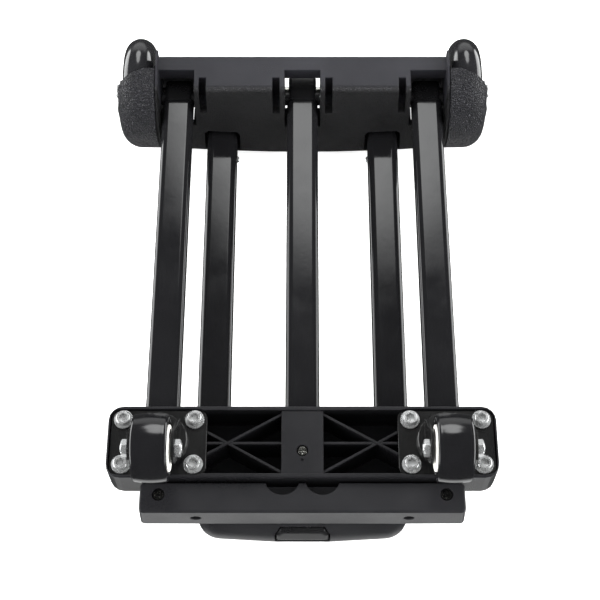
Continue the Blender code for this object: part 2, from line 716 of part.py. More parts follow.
def make_platform_tube(side, x, body):
    outer = tube_outline(TUBE_WIDTH, TUBE_DEPTH, TUBE_CORNER)
    inner = tube_outline(TUBE_WIDTH, TUBE_DEPTH, TUBE_CORNER, -TUBE_WALL)
    tube = prism(f"platform_tube_{side}", [outer, inner], TUBE_NEAR, TUBE_FAR, "Y", (x, 0, HINGE_Z))
    if x == 0.0:
        cut(tube, rod("tube_screw_hole", 2.3 * MM, HINGE_Z, HINGE_Z + TUBE_DEPTH, "Z",
                      (0, PANEL_SCREW_Y, 0), 16))
    return finish(tube, TUBE_BLACK, body)


def make_hinge_plug(side, x, body):
    """End plug of a platform tube, narrowed to an eye that turns on the hinge pin."""
    at = (x, 0, HINGE_Z)
    insert = tube_outline(TUBE_WIDTH, TUBE_DEPTH, TUBE_CORNER, -TUBE_WALL - SEAT)
    plug = prism(f"hinge_plug_{side}", [insert], TUBE_FAR - PLUG_INSERT, TUBE_FAR + PLUG_CAP / 2, "Y", at)
    cap = prism(f"plug_cap_{side}", [tube_outline(TUBE_WIDTH, TUBE_DEPTH, TUBE_CORNER)], TUBE_FAR + SEAT,
                TUBE_FAR + PLUG_CAP, "Y", at)
    half = TUBE_DEPTH / 2
    tail = HINGE_Y + PLUG_TAIL
    start = TUBE_FAR + SEAT * 2
    shoulder = HINGE_Y + PLUG_SHOULDER
    eye = fillet([(start, HINGE_Z - half), (tail, HINGE_Z - half), (tail, HINGE_Z + half),
                  (start, HINGE_Z + half)], [0.0, half * 0.98, half / 2, 0.0], 3)
    eye = prism(f"plug_eye_{side}", [eye], x - PLUG_TAIL_WIDTH / 2, x + PLUG_TAIL_WIDTH / 2, "X")
    trim = 0.1 * MM
    neck = block(f"plug_neck_{side}", (x - PLUG_WIDTH / 2, start - trim, HINGE_Z - half + trim),
                 (x + PLUG_WIDTH / 2, shoulder, HINGE_Z + half - trim), 1.0 * MM)
    boss_half = NOTCH_HALF - SEAT
    boss = rod(f"plug_boss_{side}", PLUG_BOSS, x - boss_half, x + boss_half, "X", (0, HINGE_Y, HINGE_Z), 12)
    join(plug, cap, neck, eye, boss)
    cut(plug, rod(f"plug_bore_{side}", PIN_RADIUS + SEAT, x - PIN_HALF, x + PIN_HALF, "X",
                  (0, HINGE_Y, HINGE_Z)))
    return finish(plug, HUB_BLACK, body)


def bolt_places(x):
    return [(x + sx * BOLT_PITCH_X / 2, BASE_MIDDLE + sy * BOLT_PITCH_Y / 2)
            for sy in (-1, 1) for sx in (-1, 1)]


def base_ring(z, inset):
    ring = rounded_rectangle(BASE_WIDTH - 2 * inset, BASE_LENGTH - 2 * inset, BASE_CORNER - inset, 4,
                             (0.0, BASE_MIDDLE))
    return [Vector((x, y, z)) for x, y in ring]


def make_caster_base(body):
    """Moulded tray, open upward, with ribs, bolt bosses and a centre panel over the middle tube."""
    edge = BASE_EDGE
    low = BASE_BOTTOM
    base = loft("caster_base", [base_ring(low, edge * 0.7), base_ring(low + edge * 0.3, edge * 0.2),
                                base_ring(low + edge, 0.0), base_ring(BASE_TOP - 0.6 * MM, 0.0),
                                base_ring(BASE_TOP, 0.5 * MM)])
    hollow = rounded_rectangle(BASE_WIDTH - 2 * BASE_WALL, BASE_LENGTH - 2 * BASE_WALL,
                               BASE_CORNER - BASE_WALL, 4, (0.0, BASE_MIDDLE))
    cut(base, prism("tray_hollow", [hollow], BASE_FLOOR_TOP, BASE_TOP + PAST, "Z"))
    root = BASE_FLOOR_TOP - 0.8 * MM
    bury = BASE_WALL / 2
    rib_top = BASE_TOP - RIB_DROP
    panel = block("centre_panel", (-PANEL_WIDTH / 2, BASE_NEAR + bury, root),
                  (PANEL_WIDTH / 2, BASE_FAR - bury, BASE_TOP - PANEL_DROP))
    join(base, panel)
    plate_edge = PLATE_X - PLATE_WIDTH / 2
    for side, sign in SIDES:
        low_x, high_x = sorted((sign * (PANEL_WIDTH / 2 - 1.0 * MM), sign * (plate_edge + 1.5 * MM)))
        join(base, block(f"mid_rib_{side}", (low_x, BASE_MIDDLE - RIB / 2, root),
                         (high_x, BASE_MIDDLE + RIB / 2, rib_top - 0.2 * MM)))
        for lean in (-1, 1):
            corner_y = BASE_MIDDLE + lean * (BASE_LENGTH / 2 - BASE_WALL - 1.2 * MM)
            start = Vector((sign * (PANEL_WIDTH / 2 - 1.0 * MM), corner_y))
            across = Vector((sign * CROSS_X, BASE_MIDDLE)) - start
            length = across.length * (plate_edge + 2.0 * MM - abs(start.x)) / abs(across.x)
            rib = block(f"cross_rib_{side}_{lean}", (0.0, -RIB / 2, root),
                        (length, RIB / 2, rib_top + lean * 0.1 * MM))
            heading = Matrix.Rotation(math.atan2(across.y, across.x), 4, "Z")
            height = (root + rib_top + lean * 0.1 * MM) / 2
            middle = start.to_3d() + heading @ Vector((length / 2, 0.0, height))
            rib.matrix_world = Matrix.Translation(middle) @ heading
            join(base, rib)
        saddle_top = PLATE_BOTTOM - SEAT - 0.2 * MM
        for row in (-1, 1):
            y = BASE_MIDDLE + row * BOLT_PITCH_Y / 2
            low_x, high_x = sorted((sign * (plate_edge + 2.5 * MM), sign * (BASE_WIDTH / 2 - bury)))
            join(base, block(f"saddle_{side}_{row}", (low_x, y - RIB / 2, root), (high_x, y + RIB / 2,
                                                                                saddle_top)))
        for k, (x, y) in enumerate(bolt_places(sign * PLATE_X)):
            join(base, rod(f"bolt_boss_{side}_{k}", BOLT_BOSS, root, PLATE_BOTTOM - SEAT, "Z", (x, y, 0), 12))
    for side, x in HINGE_STATIONS:
        channel = tube_outline(TUBE_WIDTH, TUBE_DEPTH, TUBE_CORNER, SEAT)
        cut(base, prism(f"tube_channel_{side}", [channel], TUBE_NEAR - SEAT, BASE_FAR + PAST, "Y",
                        (x, 0, HINGE_Z)))
    for side, sign in SIDES:
        seat = rounded_rectangle(PLATE_WIDTH + 2 * SEAT, PLATE_LENGTH + 2 * SEAT, PLATE_CORNER + SEAT, 3,
                                 (sign * PLATE_X, BASE_MIDDLE))
        cut(base, prism(f"plate_seat_{side}", [seat], PLATE_BOTTOM - SEAT, BASE_TOP + PAST, "Z"))
        for k, (x, y) in enumerate(bolt_places(sign * PLATE_X)):
            cut(base, rod(f"boss_bore_{side}_{k}", BOLT_RADIUS + SEAT, PLATE_TOP - BOLT_LENGTH - 1.0 * MM,
                          BASE_TOP + PAST, "Z", (x, y, 0), 12))
    panel_top = BASE_TOP - PANEL_DROP
    cut(base,
        rod("panel_screw_seat", PANEL_SCREW_RADIUS + SEAT, panel_top - 1.6 * MM, BASE_TOP + PAST, "Z",
            (0, PANEL_SCREW_Y, 0)),
        rod("panel_screw_bore", 2.2 * MM, HINGE_Z, BASE_TOP, "Z", (0, PANEL_SCREW_Y, 0), 16),
        rod("panel_pit", PIT_RADIUS, panel_top - 1.0 * MM, BASE_TOP + PAST, "Z",
            (0, BASE_NEAR + PIT_SETBACK, 0), 8))
    return finish(base, PLASTIC, body)


def cross_recess(name, at, width, depth):
    """Two crossed bars that cut a cross recess into a screw head whose top is at the point at."""
    x, y, z = at
    arm = width * 0.22
    bars = []
    for k, (dx, dy) in enumerate(((width / 2, arm / 2), (arm / 2, width / 2))):
        bars.append(block(f"{name}_{k}", (x - dx, y - dy, z - depth), (x + dx, y + dy, z + PAST)))
    return bars


def make_pan_screw(name, place, top, head_radius, head_height, shank_radius, tip, body=None):
    """Cross-recess screw that stands upright, with its head's top at the height top."""
    x, y = place
    profile = [(0.0, top), (head_radius * 0.7, top), (head_radius, top - head_height * 0.55),
               (head_radius, top - head_height), (shank_radius, top - head_height), (shank_radius, tip),
               (0.0, tip)]
    screw = turned(name, profile, "Z", (x, y, 0), 16)
    cut(screw, *cross_recess(f"{name}_recess", (x, y, top), head_radius * 1.2, head_height * 0.6))
    return finish(screw, STEEL_BLACK, body)


def make_caster_bolt(name, place, body):
    x, y = place
    seat = PLATE_TOP + SEAT
    head = seat + WASHER_THICKNESS + BOLT_HEAD_HEIGHT
    profile = [(0.0, head), (BOLT_HEAD_RADIUS * 0.8, head), (BOLT_HEAD_RADIUS, head - BOLT_HEAD_HEIGHT * 0.4),
               (BOLT_HEAD_RADIUS, seat + WASHER_THICKNESS), (WASHER_RADIUS, seat + WASHER_THICKNESS),
               (WASHER_RADIUS, seat),
               (BOLT_RADIUS, seat), (BOLT_RADIUS, PLATE_TOP - BOLT_LENGTH), (0.0, PLATE_TOP - BOLT_LENGTH)]
    bolt = turned(name, profile, "Z", (x, y, 0), 12)
    cut(bolt, hex_prism(f"{name}_hex", HEX_SOCKET_RADIUS, head - 2.0 * MM, head + PAST, "Z", (x, y, 0)))
    return finish(bolt, ZINC, body)


def make_caster_plate(side, sign, body):
    centre = (sign * PLATE_X, BASE_MIDDLE)
    outline = rounded_rectangle(PLATE_WIDTH, PLATE_LENGTH, PLATE_CORNER, 4, centre)
    plate = prism(f"caster_plate_{side}", [outline], PLATE_BOTTOM, PLATE_TOP, "Z")
    at = (*centre, 0.0)
    race = PLATE_TOP + RACE_HEIGHT
    cup = turned(f"race_cup_{side}", [(0.0, race), (RACE_RADIUS - 2.0 * MM, race),
                                      (RACE_RADIUS, race - 1.4 * MM), (RACE_RADIUS, PLATE_BOTTOM + 1.0 * MM),
                                      (0.0, PLATE_BOTTOM + 1.0 * MM)], "Z", at, 24)
    crown = race + SEAT + FORK_SHEET + SEAT
    pin = turned(f"kingpin_{side}", [(0.0, crown + 2.4 * MM), (KINGPIN_HEAD - 2.0 * MM, crown + 2.4 * MM),
                                     (KINGPIN_HEAD, crown + 1.2 * MM), (KINGPIN_HEAD, crown),
                                     (KINGPIN_RADIUS, crown), (KINGPIN_RADIUS, race - 1.0 * MM),
                                     (0.0, race - 1.0 * MM)], "Z", at, 16)
    join(plate, cup, pin)
    for k, (x, y) in enumerate(bolt_places(sign * PLATE_X)):
        cut(plate, rod(f"plate_bore_{side}_{k}", BOLT_RADIUS + SEAT, PLATE_BOTTOM - PAST,
                       PLATE_TOP + PAST, "Z", (x, y, 0), 10))
    return finish(plate, SHEET_BLACK, body)


# Casters

def make_caster(side, sign, platform):
    x = sign * PLATE_X
    axle_y = BASE_MIDDLE - CASTER_TRAIL
    axle_z = PLATE_TOP + CASTER_HEIGHT
    swivel = carrier(f"caster_{side}_swivel_axis", (x, BASE_MIDDLE, PLATE_TOP), platform)
    roller = carrier(f"caster_{side}_wheel_axis", (x, axle_y, axle_z), swivel)

    low = PLATE_TOP + RACE_HEIGHT + SEAT
    high = low + FORK_SHEET
    bore = KINGPIN_RADIUS + SEAT
    crown = [(RACE_RADIUS - 0.8 * MM, high), (RACE_RADIUS, high - 0.8 * MM), (RACE_RADIUS, low), (bore, low),
             (bore, high)]
    fork = turned(f"caster_fork_{side}", crown, "Z", (x, BASE_MIDDLE, 0), 24)
    root = low + 0.2 * MM
    top = axle_z + FORK_BOSS
    inside = CASTER_WIDTH / 2 + CASTER_CORE_PROUD + RUN
    spread = math.sqrt(RACE_RADIUS ** 2 - (inside + FORK_SHEET) ** 2) - 0.3 * MM
    leg = fillet([(BASE_MIDDLE + spread, root), (BASE_MIDDLE + spread, root + FORK_SHOULDER),
                  (axle_y + FORK_BOSS, top - 1.0 * MM), (axle_y + FORK_BOSS - 1.0 * MM, top),
                  (axle_y - FORK_BOSS, top), (axle_y - FORK_BOSS, axle_z - 5.0 * MM),
                  (BASE_MIDDLE - spread, root + 2.0 * MM), (BASE_MIDDLE - spread, root)],
                 [0.0, 3.0 * MM, 0.0, 0.0, FORK_BOSS * 0.8, 4.0 * MM, 1.0 * MM, 0.0], 3)
    for part, turn in (("inner", -sign), ("outer", sign)):
        ends = sorted((x + turn * inside, x + turn * (inside + FORK_SHEET)))
        join(fork, prism(f"fork_leg_{side}_{part}", [leg], ends[0], ends[1], "X"))
    reach = inside + FORK_SHEET + PAST
    cut(fork, rod(f"fork_bore_{side}", CASTER_AXLE_RADIUS + SEAT, x - reach, x + reach, "X",
                  (0, axle_y, axle_z)))
    finish(fork, SHEET_BLACK, swivel)

    tip = inside + FORK_SHEET + SEAT
    axle = rod(f"caster_axle_{side}", CASTER_AXLE_RADIUS, x - tip - CASTER_NUT_HEIGHT - 0.6 * MM,
               x + tip + CASTER_NUT_HEIGHT + 0.6 * MM, "X", (0, axle_y, axle_z))
    for part, turn in (("nut", -sign), ("head", sign)):
        ends = sorted((x + turn * tip, x + turn * (tip + CASTER_NUT_HEIGHT)))
        join(axle, hex_prism(f"axle_{part}_{side}", CASTER_NUT_RADIUS, ends[0], ends[1], "X",
                             (0, axle_y, axle_z)))
    finish(axle, ZINC, swivel)

    at = (x, axle_y, axle_z)
    half = CASTER_WIDTH / 2
    seat = CASTER_CORE_RADIUS + SEAT
    face = half - 1.0 * MM
    crest = [(CASTER_RADIUS - 0.9 * MM * (h / 0.8) ** 2, half * h) for h in (0.8, 0.4, -0.4, -0.8)]
    shoulder = CASTER_RADIUS - 2.0 * MM
    profile = [(seat, face), (seat + 2.0 * MM, half), (shoulder - 0.6 * MM, half),
               (shoulder + 0.4 * MM, half * 0.93)]
    profile += crest + [(r, -h) for r, h in profile[::-1]]
    tyre = turned(f"caster_tyre_{side}", profile, "X", at, 32)
    finish(tyre, TYRE_BLACK, roller)

    bore = CASTER_AXLE_RADIUS + SEAT
    rim = CASTER_CORE_RADIUS
    proud = half + CASTER_CORE_PROUD
    disc = [(rim - 0.5 * MM, proud), (rim, half), (rim, -half), (rim - 0.5 * MM, -proud), (bore, -proud),
            (bore, proud)]
    core = turned(f"caster_core_{side}", disc, "X", at, 24)
    finish(core, CORE_CREAM, roller)


# Telescopic handle

HANDLE_Z = HANDLE_TOP - HANDLE_DEPTH / 2
GRIP_FAR = GRIP_NEAR + GRIP_DEPTH
COLLAR_FAR = BASE_NEAR - COLLAR_GAP
COLLAR_NEAR = COLLAR_FAR - COLLAR_LENGTH
COLLAR_BOTTOM = COLLAR_TOP - COLLAR_HEIGHT
COLLAR_SCREW_X = COLLAR_HALF - COLLAR_SCREW_INSET
COLLAR_SCREW_Y = COLLAR_NEAR + COLLAR_SCREW_SETBACK
BRACKET_NEAR = GRIP_FAR + 2 * SEAT
BRACKET_TOP = COLLAR_BOTTOM - SEAT
OUTER_NEAR = BRACKET_NEAR + BRACKET_LIP + SEAT
MID_NEAR = GRIP_FAR + SEAT
YOKE_NEAR = GRIP_NEAR + BUTTON_THICKNESS + SEAT
YOKE_FAR = YOKE_NEAR + YOKE_THICKNESS
INNER_NEAR = YOKE_FAR + BUTTON_TRAVEL + RUN
MID_SHRINK = TUBE_WALL + STAGE_GAP
INNER_SHRINK = MID_SHRINK + STAGE_WALL + STAGE_GAP
ROD_X = HANDLE_X - ROD_INSET
YOKE_REACH = ROD_X + ROD_RADIUS + RUN


def stage_outline(shrink):
    return tube_outline(HANDLE_WIDTH, HANDLE_DEPTH, HANDLE_CORNER, -shrink)


def make_stage(name, sign, shrink, wall, near, far, body=None):
    tube = prism(name, [stage_outline(shrink), stage_outline(shrink + wall)], near, far, "Y",
                 (sign * HANDLE_X, 0, HANDLE_Z))
    return finish(tube, TUBE_BLACK, body)


def make_bracket():
    """Bracket that ties the outer tubes' near ends, with a shelf for the collar."""
    far = BRACKET_NEAR + BRACKET_LENGTH
    bracket = block("tube_bracket", (-BRACKET_HALF, BRACKET_NEAR, HANDLE_Z - HANDLE_DEPTH / 2 - BRACKET_WALL),
                    (BRACKET_HALF, far, BRACKET_TOP), 2.0 * MM)
    inside = COLLAR_WALL + SEAT
    shelf = block("collar_shelf", (inside - COLLAR_HALF, COLLAR_NEAR + inside, BRACKET_TOP - SHELF_THICKNESS),
                  (COLLAR_HALF - inside, far - BRACKET_WALL, BRACKET_TOP - 0.1 * MM))
    join(bracket, shelf)
    hollow_half = HANDLE_X - HANDLE_WIDTH / 2 - BRACKET_WALL
    cut(bracket, block("bracket_hollow", (-hollow_half, BRACKET_NEAR + BRACKET_WALL, 0.0),
                       (hollow_half, far - BRACKET_WALL, HANDLE_TOP)))
    for side, sign in SIDES:
        at = (sign * HANDLE_X, 0, HANDLE_Z)
        cut(bracket,
            prism(f"bracket_socket_{side}", [stage_outline(-SEAT)], OUTER_NEAR - SEAT, far + PAST, "Y", at),
            prism(f"bracket_slide_{side}", [stage_outline(MID_SHRINK - STAGE_GAP)], BRACKET_NEAR - PAST,
                  OUTER_NEAR + PAST, "Y", at),
            rod(f"shelf_bore_{side}", 1.4 * MM, BRACKET_TOP - PAST, BRACKET_TOP + PAST, "Z",
                (sign * COLLAR_SCREW_X, COLLAR_SCREW_Y, 0), 12))
    return finish(bracket, PLASTIC)


def make_collar():
    """Collar on the bracket's shelf: a box open below, with two thumb recesses in its far edge."""
    half = COLLAR_HALF
    wall = COLLAR_WALL
    roof = COLLAR_TOP - wall
    collar = block("handle_collar", (-half, COLLAR_NEAR, COLLAR_BOTTOM), (half, COLLAR_FAR, COLLAR_TOP),
                   COLLAR_EDGE)
    cut(collar, block("collar_hollow", (-half + wall, COLLAR_NEAR + wall, COLLAR_BOTTOM - PAST),
                      (half - wall, COLLAR_FAR - wall, roof)))
    thumb_floor = COLLAR_TOP - THUMB_DEPTH
    thumb_y = COLLAR_FAR + THUMB_BEYOND
    reach = THUMB_X + THUMB_RADIUS + wall
    join(collar, block("thumb_backing", (-reach, thumb_y - THUMB_RADIUS - wall, thumb_floor - wall),
                       (reach, COLLAR_FAR - wall / 2, roof + wall / 2)))
    for side, sign in SIDES:
        join(collar, rod(f"screw_pillar_{side}", COLLAR_PILLAR, COLLAR_BOTTOM + SEAT, roof + wall / 2, "Z",
                         (sign * COLLAR_SCREW_X, COLLAR_SCREW_Y, 0)))
    for side, sign in SIDES:
        spot = (sign * COLLAR_SCREW_X, COLLAR_SCREW_Y, 0)
        cut(collar,
            rod(f"thumb_recess_{side}", THUMB_RADIUS, thumb_floor, COLLAR_TOP + PAST, "Z",
                (sign * THUMB_X, thumb_y, 0), 28),
            rod(f"collar_screw_seat_{side}", COLLAR_SCREW_RADIUS + 0.5 * MM, COLLAR_TOP - 2.0 * MM,
                COLLAR_TOP + PAST, "Z", spot),
            rod(f"collar_screw_bore_{side}", 2.0 * MM, COLLAR_BOTTOM - PAST, COLLAR_TOP, "Z", spot, 12),
            rod(f"collar_hole_{side}", COLLAR_HOLE_RADIUS, COLLAR_NEAR - PAST, COLLAR_NEAR + wall + PAST, "Y",
                (sign * (COLLAR_HALF - COLLAR_HOLE_INSET), 0, (COLLAR_TOP + COLLAR_BOTTOM) / 2)))
    return finish(collar, GRIP_PLASTIC)


def grip_ring(z, inset):
    """Plan of the grip at height z, with its near line drawn in by the inset and its far line kept."""
    near_side = [(x * MM - GRIP_HALF, GRIP_NEAR + y * MM) for x, y in GRIP_PLAN]
    points = [(-GRIP_HALF, GRIP_FAR)] + near_side
    points += [(-x, y) for x, y in near_side[::-1]] + [(GRIP_HALF, GRIP_FAR)]
    radii = [1.5 * MM, 10 * MM, 8 * MM, 0.0, 0.0]
    across = (GRIP_HALF - inset * GRIP_SIDE_SHARE) / GRIP_HALF
    deep = (GRIP_DEPTH - inset) / GRIP_DEPTH
    return [Vector((x * across, GRIP_FAR + (y - GRIP_FAR) * deep, z))
            for x, y in fillet(points, radii + radii[::-1])]


def button_outline(grow, rise):
    """Front view of the push-button, with its upper corners cut, grown for its window."""
    half = BUTTON_HALF + grow
    low = BUTTON_BOTTOM - grow
    high = BUTTON_TOP + rise
    return [(-half, low), (half, low), (half, high - BUTTON_BEVEL_Z), (half - BUTTON_BEVEL_X, high),
            (BUTTON_BEVEL_X - half, high), (-half, high - BUTTON_BEVEL_Z)]


def make_grip(body):
    """Grip at the inner tubes' ends, pocketed from its far side, with ways for the button and the yoke."""
    rings = []
    for k in range(5):
        turn = math.radians(22.5 * k)
        rings.append(grip_ring(GRIP_BACK_EDGE * (1 - math.cos(turn)), GRIP_BACK_EDGE * (1 - math.sin(turn))))
    for k in range(4):
        turn = math.radians(30 * k)
        rings.append(grip_ring(GRIP_TOP - GRIP_TOP_EDGE * (1 - math.sin(turn)),
                               GRIP_TOP_EDGE * (1 - math.cos(turn))))
    grip = loft("handle_grip", rings)
    stroke = BUTTON_TRAVEL + RUN
    cut(grip, prism("button_window", [button_outline(SEAT, BUTTON_HEADROOM)], GRIP_NEAR - PAST,
                    YOKE_NEAR - SEAT + stroke, "Y"))
    cut(grip, block("yoke_way", (-YOKE_REACH - RUN, YOKE_NEAR - RUN, HANDLE_Z - YOKE_HALF_HEIGHT - RUN),
                    (YOKE_REACH + RUN, YOKE_FAR + stroke, HANDLE_Z + YOKE_HALF_HEIGHT + RUN)))
    floor_z = GRIP_FLOOR
    roof_z = GRIP_TOP - GRIP_ROOF
    cut(grip, block("centre_pocket", (GRIP_WALL - BUTTON_HALF, INNER_NEAR + GRIP_WALL, floor_z),
                    (BUTTON_HALF - GRIP_WALL, GRIP_FAR + PAST, roof_z)))
    socket_half = HANDLE_WIDTH / 2 - INNER_SHRINK
    for side, sign in SIDES:
        low, high = sorted((sign * (BUTTON_HALF + 2 * GRIP_WALL),
                            sign * (HANDLE_X - socket_half - GRIP_WALL)))
        cut(grip,
            block(f"grip_pocket_{side}", (low, GRIP_NEAR + GRIP_POCKET_SETBACK, floor_z),
                  (high, GRIP_FAR + PAST, roof_z)),
            prism(f"grip_socket_{side}", [stage_outline(INNER_SHRINK - SEAT)], INNER_NEAR - SEAT,
                  GRIP_FAR + PAST, "Y", (sign * HANDLE_X, 0, HANDLE_Z)))
    return finish(grip, GRIP_PLASTIC, body)


def make_button(body):
    button = prism("push_button", [button_outline(0.0, 0.0)], GRIP_NEAR, YOKE_NEAR - SEAT, "Y")
    edge = button.modifiers.new("edge", "BEVEL")
    edge.width = 0.8 * MM
    edge.segments = 2
    edge.limit_method = "ANGLE"
    return finish(button, HUB_BLACK, body)


def make_yoke(body):
    """Release yoke: a bar behind the button and two rods that run down the inner tubes."""
    yoke = block("release_yoke", (-YOKE_REACH, YOKE_NEAR, HANDLE_Z - YOKE_HALF_HEIGHT),
                 (YOKE_REACH, YOKE_FAR, HANDLE_Z + YOKE_HALF_HEIGHT), 0.5 * MM, 1)
    for side, sign in SIDES:
        join(yoke, rod(f"release_rod_{side}", ROD_RADIUS, YOKE_NEAR + 1.0 * MM, INNER_FAR - 2 * PAST, "Y",
                       (sign * ROD_X, 0, HANDLE_Z), 12))
    return finish(yoke, ZINC, body)


# Assembly

make_crossbar()
make_axle()
for side_name, side_sign in SIDES:
    make_bar_cover(side_name, side_sign)
    make_wheel_cover(side_name, side_sign)
    make_axle_bolt(side_name, side_sign)
    make_wheel(side_name, side_sign)
    make_stage(f"handle_outer_tube_{side_name}", side_sign, 0.0, TUBE_WALL, OUTER_NEAR, HANDLE_FAR)
    make_pan_screw(f"collar_screw_{side_name}", (side_sign * COLLAR_SCREW_X, COLLAR_SCREW_Y),
                   COLLAR_TOP - 0.4 * MM, COLLAR_SCREW_RADIUS, 1.3 * MM, 1.1 * MM,
                   BRACKET_TOP - SHELF_THICKNESS + SEAT)
make_bracket()
make_collar()

platform_axis = carrier("platform_axis", (0.0, HINGE_Y, HINGE_Z))
for station, station_x in HINGE_STATIONS:
    make_hinge_pin(station, station_x)
    make_platform_tube(station, station_x, platform_axis)
    make_hinge_plug(station, station_x, platform_axis)
make_caster_base(platform_axis)
make_pan_screw("panel_screw", (0.0, PANEL_SCREW_Y), BASE_TOP - PANEL_DROP - 0.2 * MM, PANEL_SCREW_RADIUS,
               1.1 * MM, 1.9 * MM, HINGE_Z + 2.0 * MM, platform_axis)
for side_name, side_sign in SIDES:
    make_caster_plate(side_name, side_sign, platform_axis)
    for bolt_index, bolt_place in enumerate(bolt_places(side_sign * PLATE_X)):
        make_caster_bolt(f"caster_bolt_{side_name}_{bolt_index + 1}", bolt_place, platform_axis)
    make_caster(side_name, side_sign, platform_axis)

middle_stage = carrier("middle_stage_axis", (0.0, MID_NEAR, HANDLE_Z))
top_stage = carrier("top_stage_axis", (0.0, GRIP_FAR, HANDLE_Z), middle_stage)
button_slide = carrier("button_axis", (0.0, GRIP_NEAR, BUTTON_BOTTOM), top_stage)
for side_name, side_sign in SIDES:
    make_stage(f"handle_middle_tube_{side_name}", side_sign, MID_SHRINK, STAGE_WALL, MID_NEAR, MID_FAR,
               middle_stage)
    make_stage(f"handle_inner_tube_{side_name}", side_sign, INNER_SHRINK, STAGE_WALL, INNER_NEAR, INNER_FAR,
               top_stage)
make_grip(top_stage)
make_button(button_slide)
make_yoke(button_slide)
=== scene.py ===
"""Folding equipment cart, folded flat on its back, seen from above its near end."""

import json
import math
import bpy
import bmesh
from mathutils import Matrix, Vector


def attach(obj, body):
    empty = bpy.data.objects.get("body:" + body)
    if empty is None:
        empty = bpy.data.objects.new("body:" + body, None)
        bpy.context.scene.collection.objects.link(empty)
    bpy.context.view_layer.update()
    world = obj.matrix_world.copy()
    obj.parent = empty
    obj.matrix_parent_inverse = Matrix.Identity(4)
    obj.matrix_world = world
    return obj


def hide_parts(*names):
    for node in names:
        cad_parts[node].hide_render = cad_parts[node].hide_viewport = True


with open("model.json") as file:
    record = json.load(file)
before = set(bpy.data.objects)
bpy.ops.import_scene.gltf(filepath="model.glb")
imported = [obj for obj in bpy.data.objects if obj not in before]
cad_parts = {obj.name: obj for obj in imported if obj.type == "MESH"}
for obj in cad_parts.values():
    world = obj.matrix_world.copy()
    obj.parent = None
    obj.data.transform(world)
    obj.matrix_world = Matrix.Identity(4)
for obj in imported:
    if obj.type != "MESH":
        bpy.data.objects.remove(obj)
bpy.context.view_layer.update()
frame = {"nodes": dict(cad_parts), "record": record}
MM = 0.001
SIDES = (("left", -1), ("right", 1))
SCENE = bpy.context.scene


# Places that several pieces share, in millimetres like every length of a shape

STATION_X = 89.4
STATIONS = (("left", -STATION_X), ("centre", 0.0), ("right", STATION_X))
HINGE_Y = 134.0
PLATFORM_Z = 46.0
PLATFORM_SECTION = (22.0, 12.0, 4.8)
HANDLE_X = 58.4
HANDLE_Z = 21.5
WHEEL_X = 117.5
WHEEL_Y = 146.5
WHEEL_Z = 38.0
WHEEL_AXIS = (0.0, WHEEL_Y, WHEEL_Z)
ORIGIN = (0.0, 0.0, 0.0)


# Camera at the photograph's angle

LENS = 79.3
SENSOR = 36.0
SHIFT = -0.004
CAMERA_PLACE = Vector((0.0, -0.4277, 0.8352))
CAMERA_AIM = Vector((0.0, -0.0392, 0.066))
camera_data = bpy.data.cameras.new("camera")
camera_data.lens = LENS
camera_data.sensor_width = SENSOR
camera_data.shift_x = SHIFT
camera_data.clip_start = 0.01
camera_data.clip_end = 20.0
camera = bpy.data.objects.new("camera", camera_data)
SCENE.collection.objects.link(camera)
camera.location = CAMERA_PLACE
camera.rotation_euler = (CAMERA_AIM - CAMERA_PLACE).to_track_quat("-Z", "Y").to_euler()
SCENE.camera = camera


# Node helpers, for a material or the world

def feed(owner, value, socket):
    """Links an output to a socket, or sets the socket to a plain value."""
    if isinstance(value, bpy.types.NodeSocket):
        owner.node_tree.links.new(value, socket)
    else:
        socket.default_value = value


def arithmetic(owner, operation, *values):
    made = owner.node_tree.nodes.new("ShaderNodeMath")
    made.operation = operation
    for socket, value in zip(made.inputs, values):
        feed(owner, value, socket)
    return made.outputs["Value"]


def vector_arithmetic(owner, operation, *values):
    made = owner.node_tree.nodes.new("ShaderNodeVectorMath")
    made.operation = operation
    for socket, value in zip(made.inputs, values):
        feed(owner, value, socket)
    return made.outputs["Value" if operation in ("LENGTH", "DOT_PRODUCT") else "Vector"]


def remap(owner, value, low, high, to_low, to_high, interpolation="LINEAR"):
    made = owner.node_tree.nodes.new("ShaderNodeMapRange")
    made.interpolation_type = interpolation
    made.inputs["From Min"].default_value = low
    made.inputs["From Max"].default_value = high
    made.inputs["To Min"].default_value = to_low
    made.inputs["To Max"].default_value = to_high
    feed(owner, value, made.inputs["Value"])
    return made.outputs["Result"]


# Materials

def new_material(name, colour, roughness, metallic=0.0, coat=0.0, coat_roughness=0.08, specular=0.5):
    made = bpy.data.materials.new(name)
    made.use_nodes = True
    shader = made.node_tree.nodes["Principled BSDF"]
    shader.inputs["Base Color"].default_value = (*colour, 1.0)
    shader.inputs["Roughness"].default_value = roughness
    shader.inputs["Metallic"].default_value = metallic
    shader.inputs["Coat Weight"].default_value = coat
    shader.inputs["Coat Roughness"].default_value = coat_roughness
    shader.inputs["Specular IOR Level"].default_value = specular
    return made, shader


def object_coordinates(material):
    return material.node_tree.nodes.new("ShaderNodeTexCoord").outputs["Object"]


def along(material, vector, axis):
    """Object coordinate along one axis."""
    split = material.node_tree.nodes.new("ShaderNodeSeparateXYZ")
    feed(material, vector, split.inputs["Vector"])
    return split.outputs[axis]


def noise_node(material, vector, scale, detail=4.0, roughness=0.55):
    made = material.node_tree.nodes.new("ShaderNodeTexNoise")
    made.inputs["Scale"].default_value = scale
    made.inputs["Detail"].default_value = detail
    made.inputs["Roughness"].default_value = roughness
    feed(material, vector, made.inputs["Vector"])
    return made


def noise(material, vector, scale, detail=4.0, roughness=0.55):
    return noise_node(material, vector, scale, detail, roughness).outputs["Fac"]


